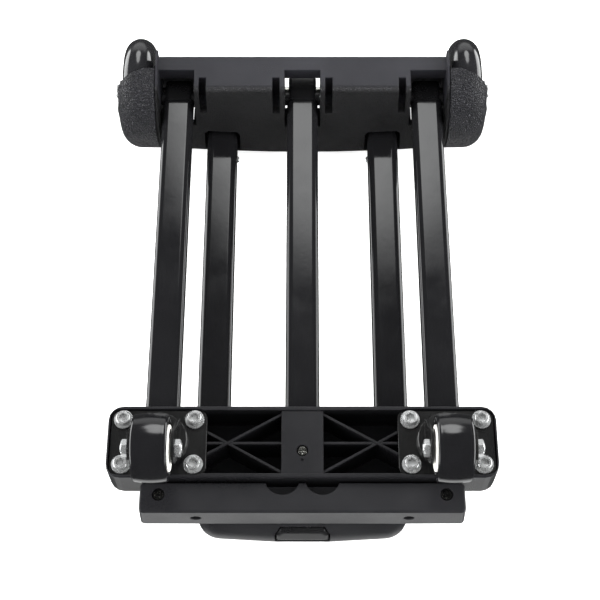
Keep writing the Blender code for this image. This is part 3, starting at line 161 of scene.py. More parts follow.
def colour_mix(material, value, first, second):
    """Mix of two colours, each a socket or its red, green and blue."""
    made = material.node_tree.nodes.new("ShaderNodeMix")
    made.data_type = "RGBA"
    feed(material, value, made.inputs[0])
    for socket, colour in ((made.inputs[6], first), (made.inputs[7], second)):
        plain = not isinstance(colour, bpy.types.NodeSocket)
        feed(material, (*colour, 1.0) if plain else colour, socket)
    return made.outputs[2]


def add_heights(material, first, second, weight):
    return arithmetic(material, "MULTIPLY_ADD", second, weight, first)


def bump(material, shader, height, strength, distance, edge=0.0):
    """Bump from a height, over edges rounded in the shading by the edge radius."""
    made = material.node_tree.nodes.new("ShaderNodeBump")
    made.inputs["Strength"].default_value = strength
    made.inputs["Distance"].default_value = distance
    feed(material, height, made.inputs["Height"])
    if edge:
        rounding = material.node_tree.nodes.new("ShaderNodeBevel")
        rounding.samples = 6
        rounding.inputs["Radius"].default_value = edge
        feed(material, rounding.outputs["Normal"], made.inputs["Normal"])
    feed(material, made.outputs["Normal"], shader.inputs["Normal"])


def patchy(material, vector, dark, light):
    """Broad soft variation between two colours, and the noise behind it."""
    broad = noise(material, vector, 22.0, 3.0)
    return colour_mix(material, remap(material, broad, 0.35, 0.7, 0.0, 1.0), dark, light), broad


def rubbed(material, broad, fine, roughness):
    """Roughness of satin plastic with rubbed patches."""
    worn = add_heights(material, broad, fine, 0.4)
    return remap(material, worn, 0.4, 0.95, roughness - 0.07, roughness + 0.1)


def leather_cells(material, vector, cells):
    """Leather cells: 0 in the creases and 1 on the cells between them."""
    made = material.node_tree.nodes.new("ShaderNodeTexVoronoi")
    made.feature = "DISTANCE_TO_EDGE"
    made.inputs["Scale"].default_value = cells
    feed(material, vector, made.inputs["Vector"])
    return remap(material, made.outputs["Distance"], 0.0, 0.28, 0.0, 1.0)


def tinted(colour, factor):
    return tuple(c * factor for c in colour)


def moulded(name, dark, light, roughness, grain, edge, strength=0.25, specular=0.5):
    """Satin moulded plastic: fine spark texture, soft colour variation and rubbed patches."""
    made, shader = new_material(name, dark, roughness, specular=specular)
    vector = object_coordinates(made)
    colour, broad = patchy(made, vector, dark, light)
    fine = noise(made, vector, grain, 6.0, 0.7)
    feed(made, colour, shader.inputs["Base Color"])
    feed(made, rubbed(made, broad, fine, roughness), shader.inputs["Roughness"])
    bump(made, shader, fine, strength, 0.00025, edge)
    return made


def tray_moulding(name, dark, light, pit, roughness, edge):
    """Satin moulding whose deep cells are painted a plain dark colour, as painted shade."""
    made, shader = new_material(name, dark, roughness, specular=0.25)
    vector = object_coordinates(made)
    colour, broad = patchy(made, vector, dark, light)
    fine = noise(made, vector, 1700.0, 6.0, 0.7)
    # painted shade: below the tray top the deep cells take the plain dark pit colour
    clear_of_cell_shade = remap(made, along(made, vector, "Z"), 0.058, 0.063, 0.0, 1.0)
    feed(made, colour_mix(made, clear_of_cell_shade, pit, colour), shader.inputs["Base Color"])
    feed(made, rubbed(made, broad, fine, roughness), shader.inputs["Roughness"])
    bump(made, shader, fine, 0.25, 0.00025, edge)
    return made


def leather_grain(name, dark, light, roughness, cells, edge):
    """Moulded plastic with a leather grain of raised cells and creases between them, the creases painted
    darker and the cells lighter as painted shade and painted highlight specks.
    """
    made, shader = new_material(name, dark, roughness)
    vector = object_coordinates(made)
    warp = noise_node(made, vector, cells * 0.6, 2.0, 0.5)
    shift = made.node_tree.nodes.new("ShaderNodeMix")
    shift.data_type = "VECTOR"
    shift.inputs[0].default_value = 0.0012
    feed(made, vector, shift.inputs[4])
    feed(made, warp.outputs["Color"], shift.inputs[5])
    crease = leather_cells(made, shift.outputs[1], cells)
    fine = noise(made, vector, cells * 5.0, 4.0, 0.6)
    height = add_heights(made, crease, fine, 0.25)
    # painted shade in the creases and painted highlight specks on the cells, set by the crease mask
    feed(made, colour_mix(made, crease, dark, light), shader.inputs["Base Color"])
    feed(made, remap(made, height, 0.0, 1.2, roughness + 0.12, roughness - 0.05), shader.inputs["Roughness"])
    bump(made, shader, height, 1.0, 0.0014, edge)
    return made


def bar_moulding(name, dark, light, roughness, edge):
    """Satin moulding that turns to a leather grain on its near face, from the crest down, with a painted
    highlight of light specks along the crest.
    """
    made, shader = new_material(name, dark, roughness, specular=0.4)
    vector = object_coordinates(made)
    far = along(made, vector, "Y")
    grained = remap(made, far, 0.1245, 0.128, 1.0, 0.0)
    crease = leather_cells(made, vector, 820.0)
    fine = noise(made, vector, 1500.0, 6.0, 0.7)
    height = add_heights(made, arithmetic(made, "MULTIPLY", crease, grained), fine, 0.25)
    # painted highlight: a band of light specks just below the crest, on the grain cells
    crest = arithmetic(made, "MULTIPLY", remap(made, far, 0.1228, 0.1244, 0.0, 1.0),
                       remap(made, far, 0.1252, 0.1266, 1.0, 0.0))
    painted_crest_highlight = arithmetic(made, "MULTIPLY", crest, crease)
    face = colour_mix(made, painted_crest_highlight, (0.0095, 0.0095, 0.0102), (0.05, 0.05, 0.053))
    top, _ = patchy(made, vector, dark, light)
    feed(made, colour_mix(made, grained, top, face), shader.inputs["Base Color"])
    satin = remap(made, fine, 0.3, 0.8, roughness - 0.05, roughness + 0.1)
    feed(made, add_heights(made, satin, grained, 0.28), shader.inputs["Roughness"])
    bump(made, shader, height, 1.0, 0.0012, edge)
    return made


def coated_steel(name, colour, roughness, edge=0.0):
    """Gloss powder coat over steel, with the faint waviness of the coat."""
    made, shader = new_material(name, colour, roughness)
    vector = object_coordinates(made)
    smear = noise(made, vector, 35.0, 4.0)
    feed(made, remap(made, smear, 0.3, 0.75, roughness - 0.04, roughness + 0.08), shader.inputs["Roughness"])
    feed(made, colour_mix(made, smear, colour, tinted(colour, 1.5)), shader.inputs["Base Color"])
    bump(made, shader, noise(made, vector, 260.0, 2.0), 0.05, 0.0002, edge)
    return made


def zinc_plate(name, tint, roughness, edge, metallic):
    """Plated steel: the rest of its metallic share stands for the soft scatter of the plating."""
    made, shader = new_material(name, tint, roughness, metallic)
    vector = object_coordinates(made)
    cloud = noise(made, vector, 180.0, 5.0, 0.65)
    feed(made, colour_mix(made, cloud, tinted(tint, 0.72), tint), shader.inputs["Base Color"])
    feed(made, remap(made, cloud, 0.3, 0.7, roughness - 0.08, roughness + 0.14), shader.inputs["Roughness"])
    bump(made, shader, noise(made, vector, 900.0, 3.0), 0.12, 0.0001, edge)
    return made


def cast_tread(name, colour, roughness):
    """Glossy cast polyurethane."""
    made, shader = new_material(name, colour, roughness, coat=0.35, coat_roughness=0.03)
    vector = object_coordinates(made)
    smear = noise(made, vector, 60.0, 4.0)
    feed(made, remap(made, smear, 0.3, 0.8, roughness, roughness + 0.1), shader.inputs["Roughness"])
    feed(made, colour_mix(made, smear, colour, tinted(colour, 1.6)), shader.inputs["Base Color"])
    bump(made, shader, noise(made, vector, 120.0, 2.0), 0.04, 0.0002)
    return made


FINISHES = {
    "black_tube": (coated_steel, {"colour": (0.005, 0.005, 0.0055), "roughness": 0.07}),
    "bar_plastic": (bar_moulding, {"dark": (0.013, 0.013, 0.016), "light": (0.02, 0.02, 0.024),
                                   "roughness": 0.42, "edge": 0.0011}),
    "base_plastic": (tray_moulding, {"dark": (0.009, 0.009, 0.01), "light": (0.013, 0.013, 0.0145),
                                     # pit: painted shade for the tray's deep cells
                                     "pit": (0.0035, 0.0035, 0.004), "roughness": 0.29, "edge": 0.0006}),
    # cover dark and light: painted shade in the grain's creases and painted highlight specks on its cells
    "cover_plastic": (leather_grain, {"dark": (0.006, 0.006, 0.0075), "light": (0.023, 0.023, 0.027),
                                      "roughness": 0.36, "cells": 600.0, "edge": 0.0008}),
    "head_plastic": (moulded, {"dark": (0.01, 0.01, 0.0112), "light": (0.014, 0.014, 0.0155),
                               "roughness": 0.3, "grain": 1700.0, "edge": 0.0007, "specular": 0.3}),
    "black_nylon": (moulded, {"dark": (0.005, 0.005, 0.0055), "light": (0.008, 0.008, 0.0085),
                              "roughness": 0.26, "grain": 1300.0, "edge": 0.0005, "strength": 0.1}),
    "sheet_steel": (coated_steel, {"colour": (0.005, 0.005, 0.005), "roughness": 0.2, "edge": 0.0005}),
    "black_steel": (zinc_plate, {"tint": (0.4, 0.4, 0.37), "roughness": 0.2, "edge": 0.0002,
                                 "metallic": 1.0}),
    "zinc": (zinc_plate, {"tint": (0.74, 0.75, 0.75), "roughness": 0.24, "edge": 0.0003,
                          "metallic": 0.84}),
    "bearing_steel": (zinc_plate, {"tint": (0.5, 0.5, 0.51), "roughness": 0.26, "edge": 0.0002,
                                   "metallic": 0.8}),
    "caster_tread": (cast_tread, {"colour": (0.004, 0.004, 0.0045), "roughness": 0.13}),
    "wheel_tread": (cast_tread, {"colour": (0.008, 0.008, 0.0088), "roughness": 0.11}),
    "cream_core": (moulded, {"dark": (0.82, 0.81, 0.76), "light": (0.88, 0.87, 0.83),
                             "roughness": 0.3, "grain": 900.0, "edge": 0.0004, "strength": 0.08}),
}
MATERIALS = {slot: make(slot, **values) for slot, (make, values) in FINISHES.items()}
SLOT_OF = {part["node"]: part["material_slot"] for part in frame["record"]["subparts"]}
BODY_OF = {node: body for body, held in frame["record"]["behaviour"]["bodies"].items() for node in held}


# Dress of the CAD nodes

CREASE_ANGLE = 32


def smooth(obj, sharp):
    """Smooth shading with sharp edges over an angle in degrees, and large flats kept flat."""
    obj.data.shade_smooth()
    obj.data.set_sharp_from_angle(angle=math.radians(sharp))
    modifier = obj.modifiers.new("weighted_normals", "WEIGHTED_NORMAL")
    modifier.keep_sharp = True
    modifier.weight = 90


def dress(obj, slot):
    obj.data.materials.clear()
    obj.data.materials.append(MATERIALS[slot])


for node_name, node in frame["nodes"].items():
    dress(node, SLOT_OF[node_name])
    smooth(node, CREASE_ANGLE)


# Mesh helpers

AXES = {
    "X": Matrix(((0, 0, 1), (1, 0, 0), (0, 1, 0))).to_4x4(),
    "Y": Matrix(((1, 0, 0), (0, 0, -1), (0, 1, 0))).to_4x4(),
    "Z": Matrix.Identity(4),
}


def placed(axis, at, turn=0.0):
    """Matrix that stands a form, drawn in millimetres, along an axis at a point, turned about X."""
    move = Matrix.Translation(Vector(at) * MM)
    return move @ Matrix.Rotation(turn, 4, "X") @ AXES[axis] @ Matrix.Scale(MM, 4)


def scaled(rows, across, up):
    """Rows of (radius, height) or (x, y), with the two numbers multiplied."""
    return [(a * across, b * up, *kind) for a, b, *kind in rows]


def mirrored(half, middle=()):
    """Rows of a half profile, a middle and the half profile the other way up."""
    return half + list(middle) + scaled(half[::-1], 1, -1)


def object_from(name, shape):
    """New object made from a bmesh, which it uses up."""
    bmesh.ops.recalc_face_normals(shape, faces=shape.faces)
    mesh = bpy.data.meshes.new(name)
    shape.to_mesh(mesh)
    shape.free()
    obj = bpy.data.objects.new(name, mesh)
    SCENE.collection.objects.link(obj)
    return obj


def piece(name, shape, node, slot=None, sharp=CREASE_ANGLE):
    """Finished piece made from a bmesh, which moves with the body of a CAD node."""
    obj = object_from(name, shape)
    smooth(obj, sharp)
    dress(obj, slot or SLOT_OF[node])
    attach(obj, BODY_OF[node])
    return obj


def stand_for(name, shape, node, sharp=CREASE_ANGLE):
    """Finished piece that is shown in place of a CAD node."""
    obj = piece(name, shape, node, None, sharp)
    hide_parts(node)


def hex_radius(apothem, turn):
    """Radius of a hexagon in the direction of a turn."""
    return apothem / math.cos((turn + math.pi / 6) % (math.pi / 3) - math.pi / 6)


def cross_radius(reach, half, turn):
    """Radius of a four-armed cross in the direction of a turn."""
    fold = abs((turn + math.pi / 4) % (math.pi / 2) - math.pi / 4)
    return min(reach / math.cos(fold), half / max(math.sin(fold), 0.001))


CROSS_SHARE = 0.26


def lathe(shape, rows, axis, at, segments, closed=False):
    """Adds a turned form: rows are (radius, height), or (radius, height, "hex" or "cross")."""
    place = placed(axis, at)
    rings = []
    for radius, height, *kind in rows:
        if radius == 0.0:
            rings.append([shape.verts.new(place @ Vector((0.0, 0.0, height)))])
            continue
        ring = []
        for k in range(segments):
            turn = 2 * math.pi * k / segments
            reach = radius
            if kind == ["hex"]:
                reach = hex_radius(radius, turn)
            if kind == ["cross"]:
                reach = cross_radius(radius, radius * CROSS_SHARE, turn)
            ring.append(shape.verts.new(
                place @ Vector((reach * math.cos(turn), reach * math.sin(turn), height))))
        rings.append(ring)
    follow = rings[1:] + rings[:1] if closed else rings[1:]
    for first, second in zip(rings, follow):
        for k in range(segments):
            nxt = (k + 1) % segments
            if len(first) == 1:
                shape.faces.new((first[0], second[k], second[nxt]))
            elif len(second) == 1:
                shape.faces.new((first[k], second[0], first[nxt]))
            else:
                shape.faces.new((first[k], first[nxt], second[nxt], second[k]))
    return shape


def drum(radius, low, high, axis, at, segments):
    """Plain round form, used in booleans."""
    return lathe(bmesh.new(), [(0.0, low), (radius, low), (radius, high), (0.0, high)], axis, at, segments)


def pin(radius, reach, chamfer, at, segments):
    """Round pin along X with chamfered ends."""
    half = [(0.0, -reach), (radius - chamfer, -reach), (radius, -reach + chamfer)]
    return lathe(bmesh.new(), mirrored(half), "X", at, segments)


def arc(centre, radius, start, end, steps, squash=1.0):
    """Points of an arc in (radius, height) between two angles in degrees."""
    points = []
    for k in range(steps + 1):
        turn = math.radians(start + (end - start) * k / steps)
        points.append((centre[0] + radius * math.cos(turn), centre[1] + radius * squash * math.sin(turn)))
    return points


def fillet(points, radii, steps):
    """Closed outline through the points, with each corner rounded by its radius."""
    outline = []
    for index, corner in enumerate(points):
        corner = Vector(corner)
        radius = radii[index] if isinstance(radii, (list, tuple)) else radii
        if not radius:
            outline.append(corner)
            continue
        before = (Vector(points[index - 1]) - corner).normalized()
        after = (Vector(points[(index + 1) % len(points)]) - corner).normalized()
        half = before.angle(after) / 2
        centre = corner + (before + after).normalized() * (radius / math.sin(half))
        start = corner + before * (radius / math.tan(half)) - centre
        sweep = start.angle_signed(corner + after * (radius / math.tan(half)) - centre)
        for step in range(steps + 1):
            turn = -sweep * step / steps
            outline.append(centre + Vector((start.x * math.cos(turn) - start.y * math.sin(turn),
                                            start.x * math.sin(turn) + start.y * math.cos(turn))))
    return outline


def rectangle(left, low, right, high):
    return [(left, low), (right, low), (right, high), (left, high)]


def rounded_rectangle(width, height, corner, steps=10, centre=(0.0, 0.0)):
    x, y = centre
    plain = rectangle(x - width / 2, y - height / 2, x + width / 2, y + height / 2)
    return fillet(plain, corner, steps)


def drawn_in(section, inset):
    """Outline of a (width, height, corner) section drawn in by an inset."""
    width, height, corner = section
    return rounded_rectangle(width - 2 * inset, height - 2 * inset, corner - inset)


def skin(shape, rings, axis, at, closed=False, turn=0.0):
    """Adds a skin over rings of (outline, height), square to an axis and turned about X."""
    place = placed(axis, at, turn)
    rows = [[shape.verts.new(place @ Vector((x, y, height))) for x, y in outline]
            for outline, height in rings]
    follow = rows[1:] + rows[:1] if closed else rows[1:]
    for lower, upper in zip(rows, follow):
        for k in range(len(lower)):
            nxt = (k + 1) % len(lower)
            shape.faces.new((lower[k], lower[nxt], upper[nxt], upper[k]))
    if not closed:
        shape.faces.new(rows[0][::-1])
        shape.faces.new(rows[-1])
    return shape


def bar_shape(outline, start, end, axis, at=ORIGIN):
    """Straight bar with the outline as its section."""
    return skin(bmesh.new(), [(outline, start), (outline, end)], axis, at)


def carved(shape, *steps):
    """The shape after each (operation, bmesh) step of exact booleans, as a new bmesh."""
    base = object_from("carve_base", shape)
    tools = []
    for operation, tool in steps:
        tools.append(object_from("carve_tool", tool))
        modifier = base.modifiers.new("carve", "BOOLEAN")
        modifier.operation = operation
        modifier.solver = "EXACT"
        modifier.object = tools[-1]
    bpy.context.view_layer.update()
    mesh = bpy.data.meshes.new_from_object(base.evaluated_get(bpy.context.evaluated_depsgraph_get()))
    for obj in [base] + tools:
        bpy.data.objects.remove(obj)
    result = bmesh.new()
    result.from_mesh(mesh)
    bpy.data.meshes.remove(mesh)
    return result


# Tubes

TUBE_SOFT = 0.25
HANDLE_STAGES = (("outer", (22.0, 13.0, 5.0), 1.2, -162.6, 143.0),
                 ("middle", (18.8, 9.8, 3.4), 1.0, -165.2, 125.0),
                 ("inner", (16.0, 7.0, 2.0), 1.0, -173.0, 118.0))


def oval_tube(node, section, wall, near, far, x, z):
    """Rounded rectangular tube along Y with softened ends."""
    outer, trimmed, inner = (drawn_in(section, inset) for inset in (0.0, TUBE_SOFT, wall))
    rings = [(trimmed, -near), (outer, -near - TUBE_SOFT), (outer, -far + TUBE_SOFT),
             (trimmed, -far), (inner, -far), (inner, -near)]
    stand_for(f"{node}_round", skin(bmesh.new(), rings, "Y", (x, 0.0, z), closed=True), node)


for side, x in STATIONS:
    oval_tube(f"platform_tube_{side}", PLATFORM_SECTION, 1.2, -155.9, 129.0, x, PLATFORM_Z)
for side, sign in SIDES:
    for stage, section, wall, near, far in HANDLE_STAGES:
        oval_tube(f"handle_{stage}_tube_{side}", section, wall, near, far, sign * HANDLE_X, HANDLE_Z)


# Guide screws, with the head's rows as shares of its radius and height

GUIDE_PLACE = (47.3, 98.0, HANDLE_Z)
GUIDE_RADIUS = 2.3
GUIDE_HEIGHT = 1.3
GUIDE_HEAD = [(0.55, 0.0), (1.0, 0.0), (1.0, 0.3), (0.93, 0.62), (0.74, 0.9), (0.6696, 1.0),
              (0.62, 1.0, "cross"), (0.496, 0.35, "cross"), (0.0, 0.2)]

for side, sign in SIDES:
    rows = scaled(GUIDE_HEAD, GUIDE_RADIUS, -sign * GUIDE_HEIGHT)
    at = (sign * GUIDE_PLACE[0], *GUIDE_PLACE[1:])
    piece(f"stage_guide_screw_{side}", lathe(bmesh.new(), rows, "X", at, 128),
          f"handle_outer_tube_{side}", "zinc")


# Big wheels

TREAD_CENTRE = (27.0, 0.0)
TREAD_RADIUS = 11.0
TREAD_HALF = 10.9
TREAD_SHOULDER = [(23.3, 10.0), (25.2, 10.1), (26.2, 10.7)]
HUB_HALF = [(23.0, 9.6), (23.0, -9.6), (22.6, -10.0), (19.9, -10.0), (19.5, -9.6), (19.3, -3.4),
            (18.4, -2.5), (14.4, -2.5), (13.6, -3.3), (13.4, -9.6), (13.0, -10.0), (11.3, -10.0),
            (11.3, -2.7), (9.0, -2.7)]
RIB_COUNT = 6
RIB_ROOT = 2.0
RIB_TAPER = 0.7
RIB_STATIONS = ((13.2, 1.5, 9.4), (16.5, 1.0, 8.2), (19.7, 1.5, 9.4))
BEARING_LOW = 2.85
BEARING_HIGH = 10.0
BEARING = [(4.15, BEARING_LOW), (10.9, BEARING_LOW), (11.0, BEARING_LOW + 0.2), (11.0, BEARING_HIGH - 0.3),
           (10.7, BEARING_HIGH), (9.7, BEARING_HIGH), (9.5, BEARING_HIGH - 0.35),
           (7.6, BEARING_HIGH - 0.45), (5.9, BEARING_HIGH - 0.35), (5.7, BEARING_HIGH),
           (4.5, BEARING_HIGH), (4.15, BEARING_HIGH - 0.3)]
BOLT_SEAT = 133.7
AXLE_BOLT = [(3.0, 131.3), (3.0, BOLT_SEAT), (5.0, BOLT_SEAT), (5.2, BOLT_SEAT + 0.2),
             (5.2, BOLT_SEAT + 1.0), (4.9, BOLT_SEAT + 1.9), (4.1, BOLT_SEAT + 2.7), (3.2, BOLT_SEAT + 3.0),
             (2.0, BOLT_SEAT + 3.0, "hex"), (1.9, BOLT_SEAT + 1.1, "hex"), (0.0, BOLT_SEAT + 0.9)]


def rib_outline(half, deep, lean):
    """Section of a hub rib on one face of the hub."""
    return [(lean * RIB_ROOT, -half), (lean * RIB_ROOT, half),
            (lean * deep, half * RIB_TAPER), (lean * deep, -half * RIB_TAPER)]


for side, sign in SIDES:
    at = (sign * WHEEL_X, WHEEL_Y, WHEEL_Z)
    crown = arc(TREAD_CENTRE, TREAD_RADIUS, 86, -86, 40, TREAD_HALF / TREAD_RADIUS)
    tyre = lathe(bmesh.new(), mirrored(TREAD_SHOULDER, crown), "X", at, 160, closed=True)
    stand_for(f"wheel_tyre_{side}_cast", tyre, f"wheel_tyre_{side}")

    hub = lathe(bmesh.new(), mirrored(HUB_HALF), "X", at, 96, closed=True)
    for k in range(RIB_COUNT):
        for lean in (-1, 1):
            rings = [(rib_outline(half, deep, lean), radius) for radius, half, deep in RIB_STATIONS]
            skin(hub, rings, "Z", at, turn=2 * math.pi * k / RIB_COUNT)
    stand_for(f"wheel_hub_{side}_ribbed", hub, f"wheel_hub_{side}")

    for name, facing in (("outer", sign), ("inner", -sign)):
        bearing = lathe(bmesh.new(), scaled(BEARING, 1, facing), "X", at, 96, closed=True)
        stand_for(f"bearing_{side}_{name}_shielded", bearing, f"bearing_{side}_{name}")

    bolt = lathe(bmesh.new(), scaled(AXLE_BOLT, 1, sign), "X", WHEEL_AXIS, 96)
    stand_for(f"axle_bolt_{side}_domed", bolt, f"axle_bolt_{side}")


# Wheel covers

COVER_FACE = 133.4
COVER_INNER_END = 104.3
COVER_BULGE = 11.5
COVER_BORE = 3.3
COVER_FLOOR = 12.0
COVER_OPENING = [(99, 138), (112, 138), (124, 133.4), (135.4, 128), (150, 128), (150, 223), (99, 223)]
LUG_RADII = [0.0, 7.9, 7.9, 0.0]
FAR_AWAY = 200.0


def cover_arc(extra):
    """Rounding of the cover over the tread, at an extra distance from it."""
    radius = TREAD_RADIUS + extra
    return [(r, WHEEL_X + h)
            for r, h in arc(TREAD_CENTRE, radius, 90, 0, 24, (COVER_BULGE + extra) / radius)]


COVER_ROWS = [(COVER_BORE, COVER_FACE), (15.2, COVER_FACE), (16.6, COVER_FACE - 0.15), *cover_arc(2.8),
              (40.8, COVER_INNER_END + 0.5), (40.3, COVER_INNER_END), (33.8, COVER_INNER_END),
              (33.8, COVER_INNER_END + 2.0), (38.8, COVER_INNER_END + 2.0), *cover_arc(0.8)[::-1],
              (15.0, COVER_FACE - 2.0), (COVER_BORE, COVER_FACE - 2.0)]

for side, sign in SIDES:
    cover = lathe(bmesh.new(), scaled(COVER_ROWS, 1, sign), "X", WHEEL_AXIS, 168, closed=True)
    below = bar_shape(rectangle(-FAR_AWAY, 0.0, FAR_AWAY, 300.0), -100.0, COVER_FLOOR, "Z")
    far = bar_shape(scaled(COVER_OPENING, sign, 1), -100.0, FAR_AWAY, "Z")
    lug = fillet(rectangle(-21.5, -8.0, 8.0, 8.0), LUG_RADII, 16)
    tongue = bar_shape(lug, sign * (COVER_FACE - 2.1), sign * (COVER_FACE - 0.1), "X", WHEEL_AXIS)
    bore = drum(COVER_BORE, -FAR_AWAY, FAR_AWAY, "X", WHEEL_AXIS, 64)
    shape = carved(cover, ("DIFFERENCE", below), ("DIFFERENCE", far), ("UNION", tongue), ("DIFFERENCE", bore))
    stand_for(f"wheel_cover_{side}_round", shape, f"wheel_cover_{side}")

stand_for("wheel_axle_round", pin(3.0, 131.1, 0.3, WHEEL_AXIS, 64), "wheel_axle")


# Hinges

PLUG_CAP = drawn_in(PLATFORM_SECTION, 0.0)
PLUG_CAP_EDGE = drawn_in(PLATFORM_SECTION, 0.3)
PLUG_NECK = rounded_rectangle(20.0, 11.8, 3.8)
SIDE_TAIL = (PLUG_NECK, rounded_rectangle(19.8, 9.8, 3.6, centre=(0.0, -1.0)),
             rounded_rectangle(18.4, 8.0, 2.8, centre=(0.0, -1.1)))
CENTRE_HEEL = rounded_rectangle(19.8, 13.2, 2.3, centre=(0.0, 1.1))
CENTRE_TAIL = (CENTRE_HEEL, CENTRE_HEEL, rounded_rectangle(18.8, 12.2, 1.8, centre=(0.0, 1.1)))
NOTCH_RIB_X = 11.75
NOTCH_RIB_Y = 126.5

for side, x in STATIONS:
    heel, waist, tip = SIDE_TAIL if x else CENTRE_TAIL
    rings = [(PLUG_CAP_EDGE, -129.3), (PLUG_CAP, -129.6), (PLUG_CAP, -130.5), (PLUG_CAP_EDGE, -130.8),
             (PLUG_NECK, -130.8), (PLUG_NECK, -139.4), (heel, -140.6), (waist, -147.4), (tip, -147.9)]
    plug = skin(bmesh.new(), rings, "Y", (x, 0.0, PLATFORM_Z))
    hinge = (x, HINGE_Y, PLATFORM_Z)
    shape = carved(plug, ("UNION", pin(4.6, 12.5, 0.2, hinge, 64)),
                   ("DIFFERENCE", drum(2.8, -20.0, 20.0, "X", hinge, 48)))
    stand_for(f"hinge_plug_{side}_smooth", shape, f"hinge_plug_{side}")
    for name, sign in (("a", -1), ("b", 1)):
        rib = rounded_rectangle(1.9, 10.2, 0.4, 3, (x + sign * NOTCH_RIB_X, NOTCH_RIB_Y))
        piece(f"notch_rib_{side}_{name}", bar_shape(rib, 30.0, 38.4, "Z"), "crossbar", "bar_plastic")


# Grip

GRIP_NEAR = -184.5
GRIP_DEEP = 19.0
GRIP_FAR = GRIP_NEAR + GRIP_DEEP
GRIP_HALF = 67.6
GRIP_TOP = 33.5
GRIP_PLAN = [(-GRIP_HALF, 19.0), (-66.2, 2.9), (-17.6, 0.0), (17.6, 0.0), (66.2, 2.9), (GRIP_HALF, 19.0)]
GRIP_RADII = [0.0, 15.0, 30.0, 30.0, 15.0, 0.0]
GRIP_LOWER_ROUND = (10.8, 12.5)
GRIP_UPPER_ROUND = (12.5, 20.5)
GRIP_WINDOW = [(-17.6, 11.7), (17.6, 11.7), (17.6, 22.2), (14.2, 28.4), (-14.2, 28.4), (-17.6, 22.2)]


def grip_ring(inset):
    """Plan of the grip, drawn in by an inset at its near side and by less at its ends."""
    across = 1 - 0.4 * inset / GRIP_HALF
    deep = (GRIP_DEEP - inset) / GRIP_DEEP
    plan = fillet([(x, GRIP_NEAR + y) for x, y in GRIP_PLAN], GRIP_RADII, 14)
    return [(x * across, GRIP_FAR + (y - GRIP_FAR) * deep) for x, y in plan]


inward, upward = GRIP_LOWER_ROUND
rings = [(grip_ring(inward * (1 - r)), upward * (1 - h)) for r, h in arc((0.0, 0.0), 1.0, 90, 0, 12)]
inward, upward = GRIP_UPPER_ROUND
rings += [(grip_ring(inward * (1 - r)), GRIP_TOP - upward * (1 - h))
          for r, h in arc((0.0, 0.0), 1.0, 0, 90, 16)]
window = bar_shape(GRIP_WINDOW, 190.0, 176.0, "Y")
stand_for("handle_grip_smooth", carved(skin(bmesh.new(), rings, "Z", ORIGIN), ("DIFFERENCE", window)),
          "handle_grip", 28)


# Push-button

BUTTON_HALF = 17.3
BUTTON_MIDDLE = 19.3
BUTTON_RISE = 7.3
BUTTON_OUTLINE = [(-BUTTON_HALF, 12.0), (BUTTON_HALF, 12.0), (BUTTON_HALF, 20.6), (13.9, 26.6),
                  (-13.9, 26.6), (-BUTTON_HALF, 20.6)]
BUTTON_DOME = ((0.0, 179.9), (0.0, 182.4), (0.3, 183.3), (0.9, 183.9), (2.0, 184.3), (3.4, 184.45))
TILT_BEHIND = -182.0
TILT_ABOVE = 13.0
TILT = 0.13

rings = []
for inset, depth in BUTTON_DOME:
    across = (BUTTON_HALF - inset) / BUTTON_HALF
    rise = (BUTTON_RISE - inset) / BUTTON_RISE
    points = [(x * across, BUTTON_MIDDLE + (z - BUTTON_MIDDLE) * rise) for x, z in BUTTON_OUTLINE]
    rings.append((fillet(points, 1.2, 4), depth))
button = skin(bmesh.new(), rings, "Y", ORIGIN)
for vertex in button.verts:
    if vertex.co.y < TILT_BEHIND * MM:
        vertex.co.y += max(0.0, vertex.co.z - TILT_ABOVE * MM) * TILT
stand_for("push_button_domed", button, "push_button")


# Collar

COLLAR_Y = -170.85
COLLAR_WIDTH = 200.0
COLLAR_DEPTH = 19.1
COLLAR_LOW = 36.0
COLLAR_TOP = 59.0
COLLAR_FLARE = 1.1
COLLAR_ROUND = 1.6
RECESS_X = 12.4
RECESS_Y = -158.5
RECESS = [(0.0, 50.5), (10.2, 50.5), (10.8, 51.1), (10.8, 70.0), (0.0, 70.0)]
COLLAR_SCREW_X = 88.4
COLLAR_SCREW_Y = -169.0
COLLAR_HOLE_X = 65.7
COLLAR_HOLE_Z = 47.5


def collar_ring(flare, inset, z):
    """Plan of the collar at a height, wider by a flare and drawn in by an inset."""
    plan = rounded_rectangle(COLLAR_WIDTH + 2 * flare - 2 * inset, COLLAR_DEPTH - 2 * inset,
                             3.0 - inset * 0.6, 8, (0.0, COLLAR_Y))
    return plan, z


rings = [collar_ring(COLLAR_FLARE, 0.0, COLLAR_LOW)]
rings += [collar_ring(0.0, COLLAR_ROUND * (1 - r), COLLAR_TOP - COLLAR_ROUND * (1 - h))
          for r, h in arc((0.0, 0.0), 1.0, 0, 90, 8)]
collar = skin(bmesh.new(), rings, "Z", ORIGIN)
hollow = rounded_rectangle(195.0, 14.1, 1.0, 4, (0.0, COLLAR_Y))
steps = [("DIFFERENCE", bar_shape(hollow, 30.0, 56.5, "Z"))]
for sign in (-1, 1):
    cup = drum(12.6, 48.0, 57.5, "Z", (sign * RECESS_X, RECESS_Y, 0.0), 96)
    limit = bar_shape(rectangle(-100.0, -178.0, 100.0, -161.5), 0.0, 100.0, "Z")
    boss = drum(4.6, 36.1, 57.0, "Z", (sign * COLLAR_SCREW_X, COLLAR_SCREW_Y, 0.0), 48)
    steps += [("UNION", carved(cup, ("INTERSECT", limit))), ("UNION", boss)]
